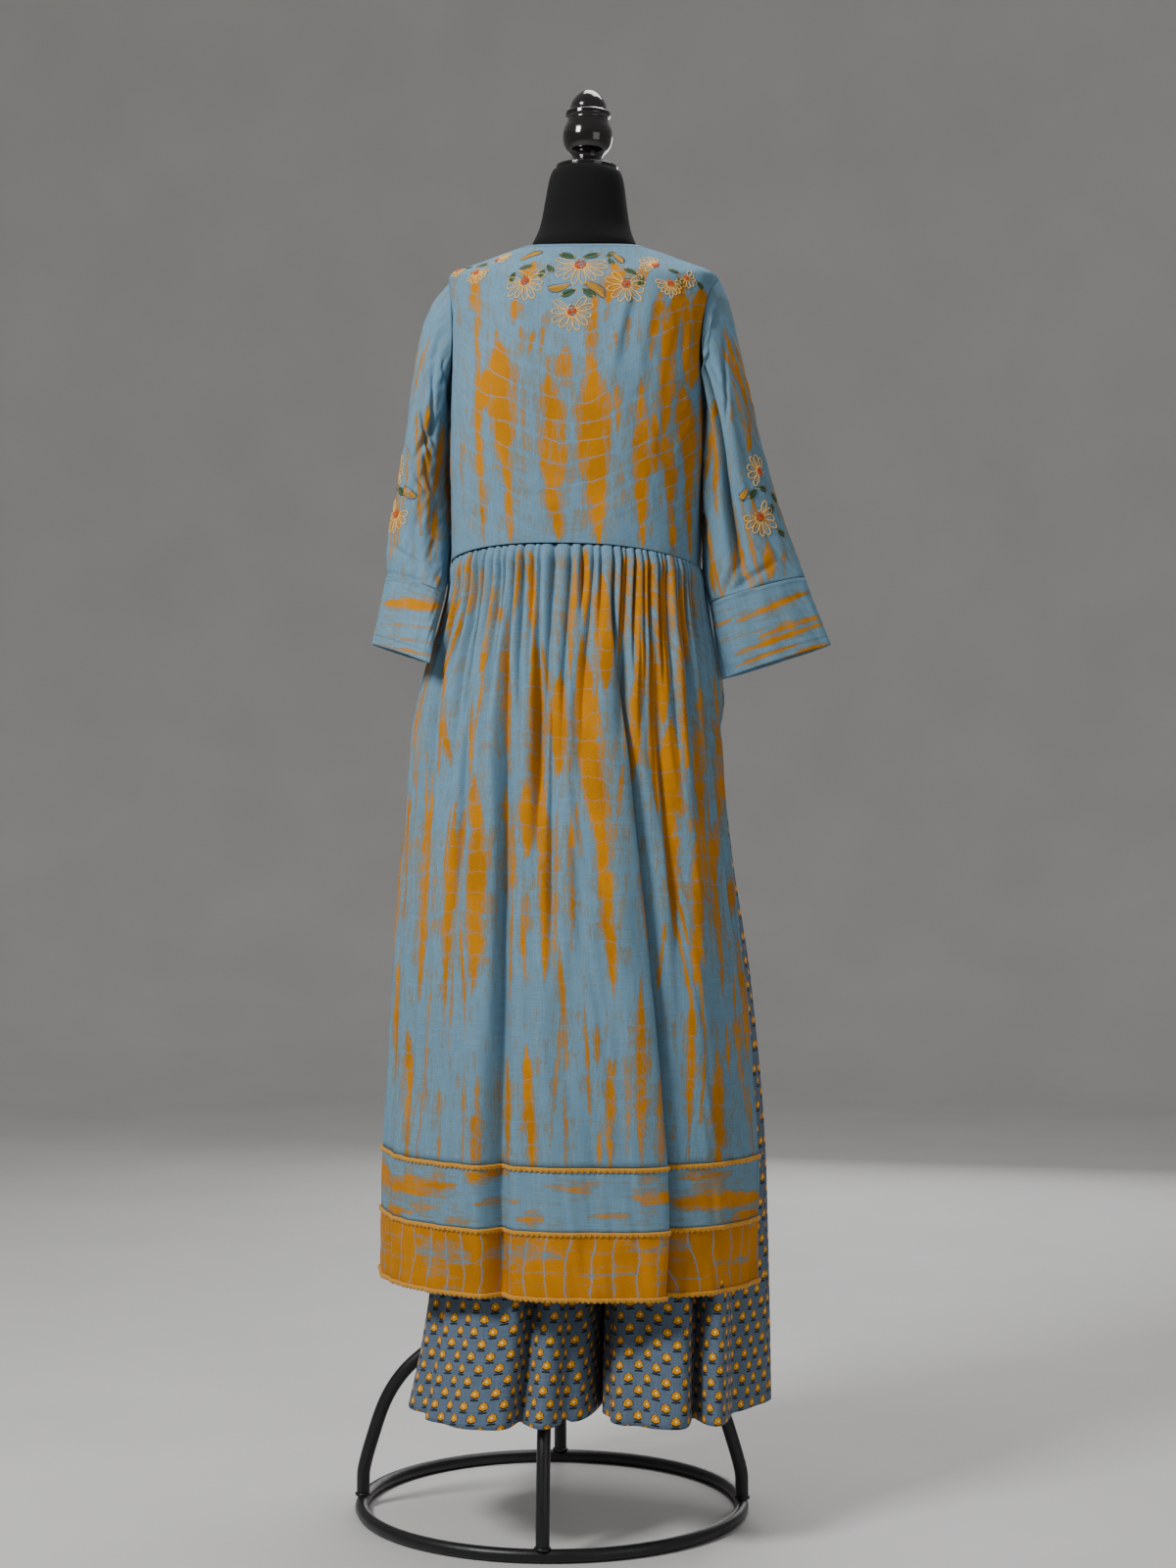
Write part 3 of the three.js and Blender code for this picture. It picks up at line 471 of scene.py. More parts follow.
thetas = np.linspace(-180, 180, 120, endpoint=False)
sine, cosine = np.sin(np.radians(thetas)), np.cos(np.radians(thetas))
NECK_FOOT, NECK_SEAT_HEIGHT, HIP_EXPONENT = 66, 1534.0, 0.88
torso_rows = [lean(NECK_FOOT * sine, -NECK_FOOT * cosine, NECK_SEAT_HEIGHT)]
for v in np.concatenate([np.linspace(1, 0.92, 10), np.linspace(0.9, 0.2, 28)]):
    torso_rows.append(bodice_point(thetas, v) - (WALL + FORM_CLEARANCE) * bodice_normal(thetas, v))
for z in (1150, 1120, 1092, 1060, 1030, 1000, 975, 950, 935, 920, 912, 905, 902, 900):
    torso_rows.append(lean(along(HIP, "halfWidth", z) * signed_power(sine, HIP_EXPONENT),
                           -along(HIP, "halfDepth", z) * signed_power(cosine, HIP_EXPONENT), z))
piece("form_torso_cover", np.array(torso_rows), jersey, ["form_torso"], closed=True, capped=True)

neck_height = np.linspace(1534.3, 1637, 40)
rings = turned(along(NECK, "radius", neck_height), neck_height, 72)
piece("form_neck_cover", lean(*np.moveaxis(rings, -1, 0)), jersey, ["form_neck"], closed=True, capped=True)


# ---- finial ---------------------------------------------------------------------------------------
# A turned wooden knob on the neck: a flange, a waist, a ball and an acorn.
# Lacquered gloss black.
FINIAL = rows("step z radius", [[i, z, radius] for i, (z, radius) in enumerate([
    (1637.4, 1), (1637.4, 38), (1641, 38), (1644, 31), (1648, 21), (1652, 18.6), (1657, 21), (1662, 26), (1669, 29.4),
    (1677, 30.6), (1686, 29.6), (1694, 26.4), (1700, 25), (1703, 27.6), (1707, 27.6), (1710, 23), (1718, 21.4),
    (1727, 16), (1733, 8.6), (1735.6, 0.6)])])
lacquer = Look("black_lacquer", roughness=0.12, colour=(0.006, 0.0055, 0.005), Coat_Weight=0.6, Coat_Roughness=0.05)
lacquer.bump(lacquer.noise(lacquer.place(), 40, 2), 0.0003)
turn_steps = np.linspace(0, 19, 115)
rings = turned(along(FINIAL, "radius", turn_steps), along(FINIAL, "z", turn_steps))
piece("form_finial_knob", lean(*np.moveaxis(rings, -1, 0)), lacquer, ["form_finial"],
      closed=True, capped=True)


# ---- cloth of the kurti -----------------------------------------------------------------------------
# Blue cotton cambric, folded, bound in lines and dipped in mustard dye, so that streaks of dye run
# down it, crossed by thin rungs where the binding kept the blue.
CLOTH = 1.0                      # thickness that shows


def laid_flat(points, closed=False):
    """Metres across and down the flat cloth at each point: the length along its row from the middle
    column, and the length down its column from the top row."""
    grid = np.concatenate([points, points[:, :1]], axis=1) if closed else points
    step = np.linalg.norm(np.diff(grid, axis=1), axis=-1)
    across = np.concatenate([np.zeros((len(grid), 1)), np.cumsum(step, axis=1)], axis=1)
    across -= across[:, across.shape[1] // 2][:, None]
    fall = np.linalg.norm(np.diff(grid, axis=0), axis=-1)
    down = np.concatenate([np.zeros((1, grid.shape[1])), np.cumsum(fall, axis=0)])
    return np.stack([across, -down], -1) / 1000


def creases(a, b, table):
    """Depth of soft creases on a cloth whose points lie at (a, b) millimetres. Each crease runs
    between two points with a Gaussian section, and thins out towards its ends."""
    depth = np.zeros(np.broadcast(a, b).shape)
    for a0, b0, a1, b1, deep, width in table:
        run = np.array([a1 - a0, b1 - b0], float)
        length = max(np.hypot(*run), 1e-6)
        s = ((a - a0) * run[0] + (b - b0) * run[1]) / length**2
        off = ((a - a0) * run[1] - (b - b0) * run[0]) / length
        ends = smooth(-0.15, 0.3, s) * smooth(1.15, 0.7, s)
        depth = depth + deep * ends * np.exp(-((off / width) ** 2))
    return depth


def ripple(a, b, seed, size, tall=3.0):
    """Slow unevenness between -1 and 1: a few crossing sine waves of about that size in
    millimetres, taller than wide, with phases from the seed."""
    phase = np.random.default_rng(seed).uniform(0, 2 * np.pi, 12)
    wave = np.zeros(np.broadcast(a, b).shape)
    for k in range(4):
        bend = 1 + 0.37 * k
        sway = 1.3 * np.sin(2 * np.pi * b / (size * tall * bend) + phase[k + 4])
        wave = wave + np.sin(2 * np.pi * a * bend / size + phase[k] + sway) / bend
    return wave / 2.1


def streaks(a, b, table):
    """How much dye each point took, 0 to 1 or over. A streak is a long lens on a centre line from
    (a0, top) to (a1, bottom): half width, strength, and where along it the lens is widest, which
    is half way if not given."""
    dye = np.zeros(np.broadcast(a, b).shape)
    for a0, top, a1, bottom, half, strong, *rest in table:
        widest = rest[0] if rest else 0.5
        s = (top - b) / (top - bottom)
        line = a0 + (a1 - a0) * s
        lens = smooth(-0.04, 0.7 * widest, s) ** 0.7 * (1 - smooth(widest, 1.04, s)) ** 0.45
        wide = 1.12 * half * np.maximum(lens, 0.05)
        core = np.exp(-(((a - line) / wide) ** 2) ** 1.15)
        halo = 0.36 * np.exp(-np.abs((a - line) / (2.3 * wide)) ** 1.5)
        dye = np.maximum(dye, strong * np.maximum(core, halo) * (lens > 0.001) * smooth(0, 0.08, lens))
    return dye


def scattered(seed, count, across, tops, long, half):
    """Rows for streaks(), placed by chance from the seed: the range across, of their tops, of their
    lengths and of their half widths."""
    chance = np.random.default_rng(seed)
    span = across[1] - across[0]
    place = np.linspace(*across, count) + chance.uniform(-0.5, 0.5, count) * span / count
    top = chance.uniform(tops[1], tops[0], count)
    foot = place + chance.uniform(-0.02, 0.02, count) * abs(span)
    return np.stack([place, top, foot, top - chance.uniform(*long, count), chance.uniform(*half, count),
                     chance.uniform(0.65, 1.15, count), chance.uniform(0.35, 0.6, count)], 1).tolist()


class Effect(Look):
    """A shader node group being built with the same short calls."""

    def __init__(self, name, inputs, outputs):
        self.tree = bpy.data.node_groups.new(name, "ShaderNodeTree")
        for in_out, sockets in (("INPUT", inputs), ("OUTPUT", outputs)):
            for socket, kind in sockets.items():
                self.tree.interface.new_socket(socket, in_out=in_out, socket_type=kind)


def weave_group():
    """Plain weave: crossing threads, each row of them a little uneven, and slubs along both.
    Puts out a height, and a tone around 0.5 from the slubs that the cloths turn into painted light and shade on their
    threads."""
    weave = Effect("plain_weave", {"Vector": "NodeSocketVector", "Threads": "NodeSocketFloat"},
                   {"Height": "NodeSocketFloat", "Tone": "NodeSocketFloat"})
    given = weave.node("NodeGroupInput").outputs
    thread = {"Vector": given["Vector"], "Scale": given["Threads"], "Distortion": 0.3}
    slubs, threads = [], []
    for direction, stretch in (("Y", (0.035, 1, 1)), ("X", (1, 0.035, 1))):
        slubs.append(weave.noise(given["Vector"], 900, 3, stretch=stretch))
        threads.append(weave.node("ShaderNodeTexWave", thread, bands_direction=direction).outputs[1])
    tone = weave.math("MULTIPLY", weave.math("ADD", *slubs), 0.5)
    height = weave.math("ADD", weave.math("MAXIMUM", *threads), tone)
    weave.node("NodeGroupOutput", {"Height": height, "Tone": tone})
    return weave.tree


PLAIN_WEAVE = weave_group()
COTTON_BLUE = (0.128, 0.262, 0.372)


def dyed_cotton(name, rung_pitch=0.026, rung_strength=1.0, rung_width=0.05, across=False):
    """Blue cotton that turns to mustard where the point mark "dye" plus long noise passes a step.
    Rungs cross the streaks every rung_pitch metres; across turns the whole pattern on its side, as
    on bands and cuffs."""
    look = Look(name, roughness=0.92, Sheen_Weight=0.01, Sheen_Roughness=0.4, Specular_IOR_Level=0.12)
    flat = look.flat()
    weave = look.node("ShaderNodeGroup", {"Vector": flat, "Threads": 520.0}, node_tree=PLAIN_WEAVE)
    parted = look.node("ShaderNodeSeparateXYZ", {0: flat}).outputs
    run, side = (parted[0], parted[1]) if across else (parted[1], parted[0])
    tall = (1.0, 7.0, 1.0) if across else (7.0, 1.0, 1.0)
    # Rungs: distance to the nearest bound line, which wanders and jumps a little from streak to streak.
    bound = look.total(look.math("DIVIDE", run, rung_pitch), look.math("MULTIPLY", look.noise(flat, 9, 2), 1.9),
                       look.math("MULTIPLY", look.noise(flat, 160, 1), 0.12))
    rung = look.math("ABSOLUTE", look.math("SUBTRACT", look.math("FRACT", bound), 0.5))
    near = look.math("SUBTRACT", 1.0, look.math("MULTIPLY", rung, 2.0))
    line = look.math("MULTIPLY", look.step(near, rung_width, 0.3 * rung_width), rung_strength)
    waist = look.math("MULTIPLY", look.step(near, 0.42, 0.0), -0.2 * rung_strength)
    # Each cell between two rungs took a little more dye or less than the next.
    cell = {0: look.math("MULTIPLY", side, 34.0), 1: look.math("FLOOR", bound)}
    soaked = look.total(
        look.node("ShaderNodeAttribute", attribute_name="dye").outputs["Fac"],
        look.about(look.noise(flat, 24, 5, 0.66, stretch=tall), 0.5, 2.1),
        look.about(look.noise(flat, 120, 4, 0.7, stretch=tall), 0.5, 2.0),
        look.about(look.noise(look.node("ShaderNodeCombineXYZ", cell).outputs[0], 1.37, 1.0), 0.5, 0.9), waist)
    strong = look.step(soaked, 0.3, 0.8)
    wash = look.math("MULTIPLY", look.step(soaked, 0.06, 0.52), 0.7)
    kept = look.math("SUBTRACT", 1.0, look.math("MULTIPLY", line, 0.8))
    amount = look.math("MULTIPLY", look.math("MAXIMUM", strong, wash), kept)
    # Painted light and shade on single threads: where the slub tone is high the blue goes pale, where it is low the
    # blue goes dark and the mustard darkens.
    lit_thread = look.step(weave.outputs["Tone"], 0.3, 0.7)
    blue = look.mix(look.noise(flat, 7, 3), *(tuple(shade * c for c in COTTON_BLUE) for shade in (0.86, 1.14)))
    blue = look.mix(lit_thread, look.mix(0.16, blue, (0.05, 0.09, 0.14)), look.mix(0.12, blue, (0.55, 0.66, 0.74)))
    mustard = look.mix(look.step(look.noise(flat, 11, 3), 0.3, 0.75), (0.43, 0.165, 0.0), (0.6, 0.225, 0.0))
    mustard = look.mix(look.step(soaked, 0.3, 0.75), (0.2, 0.165, 0.022), mustard)
    mustard = look.mix(lit_thread, look.mix(0.12, mustard, (0.16, 0.07, 0.0)), mustard)
    look.colour(look.mix(amount, blue, mustard))
    look.bump(weave.outputs["Height"], 0.00022, 0.6)
    return look


body_cotton = dyed_cotton("dyed_cotton_body")


# ---- bodice ---------------------------------------------------------------------------------------
# A plain back and a plain front of the dyed cotton, joined at the shoulders and sides, with no dart.
# The neck edge is turned in and stitched; the lower edge takes the gathered skirt.
V_UNDERARM, V_SHOULDER = 0.60, 0.92      # how far up the bodice the armhole begins and ends
DEGREE = 2.35                            # millimetres across the back for a degree
BODICE_CORE = (30, 0, 1350.0)            # a point inside the bodice


def bodice_panel(centre, columns, steps):
    """Points and their angle and height: the bodice between its side, armhole and shoulder edges."""
    s, v = np.meshgrid(np.linspace(-1, 1, columns), np.linspace(1, 0.002, steps))
    theta = centre + s * (along(BODICE, "armhole", v) - 0.1)
    return bodice_point(theta, v), theta, v


BACK_CREASES = [
    [52, 1470, 36, 1360, -1.6, 6], [62, 1475, 50, 1380, 1.8, 5], [80, 1480, 66, 1350, -1.4, 8],
    [-118, 1440, -88, 1330, 2.0, 9], [-128, 1400, -70, 1250, 1.5, 12], [-140, 1330, -90, 1260, 1.6, 8],
    [128, 1430, 104, 1330, 1.8, 9], [140, 1380, 96, 1260, 1.6, 12], [150, 1330, 110, 1290, 1.2, 7],
    [-150, 1210, -60, 1196, 1.2, 7], [40, 1200, 130, 1188, 1.1, 8], [-20, 1250, 70, 1215, 0.8, 10],
    [-60, 1230, 10, 1222, 0.7, 8], [0, 1480, -10, 1250, 0.8, 18], [-60, 1470, -70, 1220, 0.9, 20]]
points, theta, v = bodice_panel(0, 190, 170)
a, b = theta * DEGREE, points[..., 2]
shape = 1.5 * creases(a, b, BACK_CREASES) + 0.9 * ripple(a, b, 3, 90) + 0.35 * ripple(a + 0.4 * b, b, 4, 34, 2)
# The form lies close under the cloth, so troughs stay shallow and ridges stand proud instead.
shape = np.where(shape > 0, 1.2 * np.tanh(shape / 1.2), shape) - 0.5
edge = smooth(0, 0.03, v) * smooth(1.0, 0.97, v)
points = points - outward_of(points, BODICE_CORE) * (shape * edge)[..., None]
back_points, back_theta = points, theta
# Across the back in millimetres from its middle and height, at a streak's top and at its foot; then
# half width, strength, and where it is widest unless half way.
BACK_DYE = [
    [-98, 1432, -80, 1170, 5.9, 1, 0.62], [-64, 1409, -48, 1238, 16.7, 1.15, 0.3], [-79, 1378, -81, 1333, 14, 1.1],
    [-48, 1251, -44, 1168, 5.4, 0.9, 0.6], [-10, 1373, -3, 1186, 9.1, 1, 0.42], [-4, 1215, 0, 1168, 3.8, 0.85],
    [0, 1400, 0, 1349, 4.8, 0.75], [17, 1391, 30, 1166, 14, 1.15, 0.45], [33, 1350, 36, 1269, 5.9, 0.9, 0.4],
    [44, 1358, 46, 1295, 3.8, 0.8, 0.4], [70, 1359, 80, 1162, 10.7, 1.05, 0.45], [87, 1323, 94, 1249, 7, 0.9],
    [89, 1467, 81, 1381, 7, 1, 0.3], [110, 1465, 101, 1329, 13.4, 1.1, 0.3], [108, 1394, 104, 1298, 11.3, 1.1],
    [103, 1308, 130, 1154, 9.1, 0.95, 0.4], [153, 1477, 170, 1394, 18.8, 1.2, 0.35], [153, 1387, 148, 1354, 8.1, 1],
    [134, 1353, 160, 1228, 19.3, 1.15, 0.35], [147, 1248, 166, 1150, 7, 1, 0.4],
    [180, 1356, 180, 1237, 8.1, 1, 0.4], [-108, 1510, -92, 1431, 8.6, 0.95, 0.4],
    [-98, 1452, -98, 1389, 3.2, 0.7, 0.4], [-45, 1462, -47, 1427, 5.9, 0.75, 0.4], [-48, 1510, -31, 1485, 9.1, 1],
    [20, 1465, 17, 1369, 5.4, 0.85, 0.25], [44, 1507, 32, 1451, 9.1, 1], [72, 1500, 60, 1468, 7, 0.9],
    [-66, 1428, -68, 1402, 3.8, 0.7], [-39, 1426, -35, 1388, 4.3, 0.75], [-25, 1420, -30, 1391, 3.2, 0.7, 0.4],
    [-15, 1444, -19, 1392, 3.2, 0.65, 0.4], [-33, 1361, -30, 1276, 3.8, 0.5, 0.3], [-11, 1392, -11, 1371, 2.4, 0.6],
    [41, 1415, 41, 1399, 2.7, 0.5], [54, 1439, 54, 1396, 2.7, 0.6], [-145, 1500, -158, 1468, 4.3, 0.6, 0.4],
    [-116, 1347, -110, 1309, 2.7, 0.5], [-128, 1327, -124, 1238, 2.4, 0.7], [-176, 1330, -172, 1200, 6, 0.9, 0.4],
    [-196, 1290, -198, 1180, 8, 1], [196, 1330, 200, 1190, 9, 1], [128, 1462, 140, 1360, 11, 1.1, 0.4],
    [168, 1470, 184, 1420, 14, 1.2], [150, 1480, 160, 1370, 17, 1.2, 0.4], [118, 1490, 114, 1400, 9, 1.1, 0.4],
    [176, 1440, 186, 1370, 13, 1.1], [-118, 1340, -120, 1200, 2.4, 0.7], [-92, 1404, -84, 1300, 4, 0.8],
    [-136, 1470, -142, 1420, 3, 0.6], [12, 1340, 14, 1200, 2.2, 0.7], [118, 1290, 122, 1170, 6, 1]]
bodice_back = piece("bodice_back_cloth", points, body_cotton, ["bodice_back"], wall=CLOTH,
                    outward=BODICE_CORE, cut=laid_flat(points), marks={"dye": streaks(a, b, BACK_DYE)})

front_points, theta, v = bodice_panel(180, 130, 110)
FRONT_DYE = (scattered(31, 26, (-200, 200), (1480, 1230), (90, 230), (4, 15))
             + scattered(32, 16, (-200, 200), (1470, 1190), (30, 90), (2, 5)))
bodice_front = piece(
    "bodice_front_cloth", front_points, body_cotton, ["bodice_front"], wall=CLOTH, outward=BODICE_CORE,
    cut=laid_flat(front_points), marks={"dye": streaks((theta - 180) * DEGREE, front_points[..., 2], FRONT_DYE)})


# ---- sleeves and cuffs --------------------------------------------------------------------------------
# Three-quarter sleeves that widen to the hem, set in flat, each with a deep cuff cut across the cloth.
# Both hang by their own weight, creased at the underarm and the elbow.
SLEEVE_COLUMNS = "t outerX outerY outerZ innerX innerY innerZ thick fit"
SLEEVE_RIGHT = [
    [0.07, 216, 4, 1474, 198, 2, 1345, 58, 0.75], [0.16, 228, 4, 1424, 198, 2, 1312, 58, 0.4],
    [0.28, 243, 4, 1360, 194, 1, 1272, 55, 0.1], [0.42, 258, 5, 1290, 188, -2, 1226, 51, 0],
    [0.56, 277, 6, 1221, 186.5, -8, 1178, 44, 0], [0.68, 296, 7, 1168, 188, -14, 1133, 36, 0],
    [0.78, 309, 8, 1134, 195, -18, 1102, 29, 0], [0.88, 324, 8, 1093, 203, -22, 1056, 22, 0],
    [1.00, 339, 8, 1052, 212, -26, 1010, 16, 0]]
SLEEVE_LEFT = [
    [0.07, -152, 2, 1474, -127, 0, 1348, 58, 0.75], [0.16, -167, 1, 1428, -128, -2, 1318, 58, 0.4],
    [0.28, -173, 0, 1366, -129, -8, 1280, 56, 0.1], [0.42, -178, -2, 1292, -128, -20, 1236, 51, 0],
    [0.56, -186, -8, 1221, -126, -38, 1188, 44, 0], [0.68, -194, -14, 1166, -124, -60, 1146, 35, 0],
    [0.78, -199, -18, 1134, -123, -78, 1116, 27, 0], [0.88, -208, -24, 1097, -126, -100, 1073, 20, 0],
    [1.00, -217, -30, 1055, -128, -124, 1028, 14, 0]]
T_CUFF = 0.78                    # where along the sleeve its cuff is joined
CUFF_SEAM = 0.0008               # half the gap there, as a share of the length
UNDERARM_EASE = 2.7
SLEEVE_LENGTH = 450              # millimetres
SLEEVE_DEGREE = 1.15             # millimetres round the sleeve for a degree


def armhole(side, phi):
    """Angle and height on the bodice of the armhole's edge: 0 at the shoulder tip, 90 at the back,
    180 under the arm."""
    turn = np.mod(phi, 360)
    down = np.where(turn <= 180, turn, 360 - turn) / 180
    v = mix(V_SHOULDER, V_UNDERARM, down)
    reach = along(BODICE, "armhole", v)
    return side * np.where(turn <= 180, reach, 180 - reach), v


def sleeve_surface(side, numbers):
    """The sleeve as a function of angle round it and fraction down it: an oval between its outer and
    inner edge, square to its run, which near the armhole turns into the armhole's own curve."""
    shoulder, underarm = (bodice_point(*armhole(side, np.array(float(phi)))) for phi in (0, 180))
    table = rows(SLEEVE_COLUMNS, [[0, *shoulder, *underarm, 56, 1.0], *numbers])

    def edge(name, t):
        return np.stack([along(table, name + axis, t) for axis in "XYZ"], -1)

    def core(t):
        return edge("outer", t) + edge("inner", t)

    def oval(phi, t):
        outer, inner = edge("outer", t), edge("inner", t)
        late = (t > 0.97)[..., None]
        axis = np.where(late, core(1 + 0 * t) - core(0.94 + 0 * t),
                        core(np.minimum(t + 0.02, 1)) - core(np.maximum(t - 0.02, 0)))
        across = outer - inner
        deep = unit(np.cross(across, axis)) * (-side * along(table, "thick", t))[..., None]
        angle = np.radians(phi)[..., None]
        return (outer + inner) / 2 + across * np.cos(angle) / 2 + deep * np.sin(angle)

    def surface(phi, t):
        phi, t = np.broadcast_arrays(np.asarray(phi, float), np.asarray(t, float))
        theta, v = armhole(side, phi)
        stray = bodice_point(theta, v) - oval(phi, 0 * t)
        # The first ring stands just outside the bodice's edge, further out under the arm.
        rim = bodice_point(*armhole(side, phi + 1)) - bodice_point(*armhole(side, phi - 1))
        outward = unit(np.cross(rim, bodice_normal(theta, v))) * -side
        ease = UNDERARM_EASE * (1 - np.cos(np.radians(phi))) / 2
        seat = outward * SEAM_GAP + np.array([side, 0, 0]) * ease[..., None]
        return oval(phi, t) + stray * along(table, "fit", t)[..., None] + seat * (1 - smooth(0, 0.05, t))[..., None]

    return surface


SLEEVE_CREASES = {
    # Round the sleeve in millimetres from the shoulder line over the back, and down it: ends, depth, width.
    "right": [[128, 40, 118, 330, 22, 8], [168, 60, 160, 300, -7, 11], [92, 90, 98, 340, -4, 12],
              [60, 70, 100, 130, 4, 5], [40, 60, 80, 100, 2.5, 5], [70, 320, 150, 352, 3, 6],
              [120, 300, 150, 345, 3, 5], [10, 380, 90, 372, 1.2, 5], [100, 230, 60, 300, 1.6, 7],
              [20, 150, 60, 210, 1.4, 8], [150, 200, 178, 260, 3, 7]],
    "left": [[100, 60, 150, 130, 6, 7], [90, 120, 150, 150, 6, 6], [150, 90, 100, 190, 5, 7],
             [60, 180, 150, 205, 4, 5], [120, 150, 165, 200, 3, 6], [40, 240, 60, 330, -2, 12],
             [60, 300, 160, 318, 2.5, 5], [20, 345, 150, 352, 2.5, 5], [110, 350, 165, 345, 2, 4],
             [30, 60, 50, 300, -1.5, 10], [140, 230, 120, 330, 2, 9]]}
SLEEVE_DYE = {
    # Round the sleeve and down it; its front is placed by chance.
    "right": [[54, -62, 42, -109, 5, 0.9], [76, -114, 90, -138, 4.4, 0.5], [44, -155, 62, -185, 7.5, 0.9],
              [162, -227, 173, -350, 5, 1.1], [122, -274, 133, -336, 2.5, 1], [110, -280, 120, -336, 2.5, 1],
              [73, -288, 88, -346, 11, 1.05], [116, -62, 144, -107, 7.5, 0.9, 0.4], [191, -134, 207, -306, 6.2, 1],
              [0, -30, 0, -59, 3.1, 0.6], [107, -176, 122, -235, 2.5, 0.6], [51, -305, 62, -342, 3.8, 0.7],
              [146, -90, 160, -170, 6, 0.9], [20, -90, 24, -180, 4, 0.7], [8, -200, 12, -330, 7, 0.9]]
             + scattered(41, 9, (200, 345), (-10, -240), (60, 150), (3, 9))
             + scattered(42, 4, (-66, -8), (-20, -250), (50, 120), (3, 9))
             + scattered(45, 13, (-50, 200), (-20, -240), (60, 170), (2.5, 7)),
    "left": [[0, -12, 3, -25, 3.1, 0.7], [12, -47, 50, -133, 2.4, 0.7], [50, -40, 100, -114, 2.2, 0.7],
             [83, -130, 109, -168, 5.6, 0.8], [106, -132, 149, -274, 4.4, 1.05, 0.45],
             [129, -115, 166, -268, 4.4, 1.05, 0.45], [172, -82, 187, -132, 1.9, 0.7],
             [194, -322, 194, -346, 3.8, 0.8], [52, -153, 111, -248, 2.5, 0.6], [60, -200, 70, -330, 5, 0.9],
             [20, -120, 30, -290, 7, 1], [176, -200, 186, -300, 4, 0.8]]
            + scattered(43, 9, (210, 345), (-10, -240), (60, 150), (3, 9))
            + scattered(44, 4, (-66, -8), (-20, -250), (50, 120), (3, 9))
            + scattered(46, 15, (-50, 200), (-15, -230), (70, 180), (2.5, 8))}
CUFF_DYE = {
    "right": [[383, 147, 370, 20, 3.8, 1], [424, 162, 416, 20, 3.8, 1], [450, 97, 450, 20, 3.8, 1.1, 0.6],
              [378, 207, 379, 153, 2.5, 0.7], [399, 182, 403, 99, 1.9, 0.6, 0.4], [410, 120, 404, 20, 4, 0.9],
              [440, 160, 436, 70, 3, 0.9], [396, 300, 392, 225, 6, 1], [430, 330, 436, 240, 4, 0.9],
              [380, -8, 386, -60, 5, 1], [422, -4, 424, -56, 4, 0.8]],
    "left": [[389, 60, 370, 226, 6.2, 1.1], [418, 60, 398, 220, 1.6, 0.7], [436, 60, 420, 220, 1.6, 0.7],
             [450, 60, 438, 225, 2.4, 0.8], [388, 340, 392, 250, 5, 1], [430, 330, 424, 240, 4, 0.8],
             [384, 50, 392, -60, 6, 1], [428, 40, 424, -40, 3, 0.8]]}
sleeve_cotton = dyed_cotton("dyed_cotton_sleeve", rung_pitch=0.03, rung_strength=0.6)
cuff_cotton = dyed_cotton("dyed_cotton_cuff", rung_strength=0.1, across=True)
SLEEVE_TURN = np.linspace(-90, 270, 140, endpoint=False)
sleeve_grids = {}
for name, side, numbers in (("right", 1, SLEEVE_RIGHT), ("left", -1, SLEEVE_LEFT)):
    surface = sleeve_surface(side, numbers)
    for part, tops, bottoms, steps in (
            ("sleeve", 0.0, T_CUFF - CUFF_SEAM, 130), ("cuff", T_CUFF + CUFF_SEAM, 1.0, 40)):
        phi, t = np.meshgrid(SLEEVE_TURN, np.linspace(tops, bottoms, steps))
        points = surface(phi, t)
        a, b = (np.mod(phi + 60, 360) - 60) * SLEEVE_DEGREE, t * SLEEVE_LENGTH
        shape = (creases(a, b, SLEEVE_CREASES[name]) + 1.4 * ripple(a, b, 5 + side, 70)
                 + 0.6 * ripple(a + 0.5 * b, b - 0.3 * a, 8 + side, 30, 2))
        seam = smooth(0, 0.06, t) * smooth(0, 0.01, np.abs(t - T_CUFF))
        points = points - outward_of(points, points.mean(1, keepdims=True), closed=True) * (shape * seam)[..., None]
        look = sleeve_cotton if part == "sleeve" else cuff_cotton
        dye = streaks(a, -b, SLEEVE_DYE[name]) if part == "sleeve" else streaks(b, a, CUFF_DYE[name])
        made = piece(f"{part}_{name}_cloth", points, look, [f"{part}_{name}"], closed=True, wall=CLOTH,
                     outward=points.mean((0, 1)), cut=laid_flat(points, closed=True), marks={"dye": dye})
        sleeve_grids[part, name] = points, a, b


# ---- embroidery -------------------------------------------------------------------------------------
# Hand embroidery in cotton floss round the back of the neck and on the sleeves: daisies of
# chain-stitch loops with a centre of knots, satin leaves, feathered leaves with dotted edges, beads.
FLOSS = []
for name, colour, rough in (
        ("cream_floss", (0.87, 0.5, 0.12), 0.5), ("knot_floss", (0.68, 0.11, 0.0), 0.6),
        ("leaf_floss", (0.035, 0.085, 0.03), 0.5), ("mustard_floss", (0.6, 0.29, 0.004), 0.5),
        ("navy_floss", (0.012, 0.015, 0.035), 0.5), ("bead_metal", (0.85, 0.66, 0.32), 0.22)):
    floss = Look(name, roughness=rough, colour=colour, metallic=0.9 if name == "bead_metal" else 0.0)
    dark, pale = (tuple(min(1.0, shade * c) for c in colour) for shade in (0.7, 1.2))
    floss.colour(floss.mix(floss.noise(floss.place(), 260, 2), dark, pale))
    floss.bump(floss.noise(floss.place(), 2600, 2), 0.0003)
    FLOSS.append(floss)
CREAM, KNOT, LEAF, GOLD, NAVY, BEAD = range(6)


def stitches(x0, y0, x1, y1, width, high, kind):
    """Flat stitches as rows of start, end, width, height and floss number."""
    return np.stack(np.broadcast_arrays(x0, y0, x1, y1, width, high, kind), -1).astype(float)


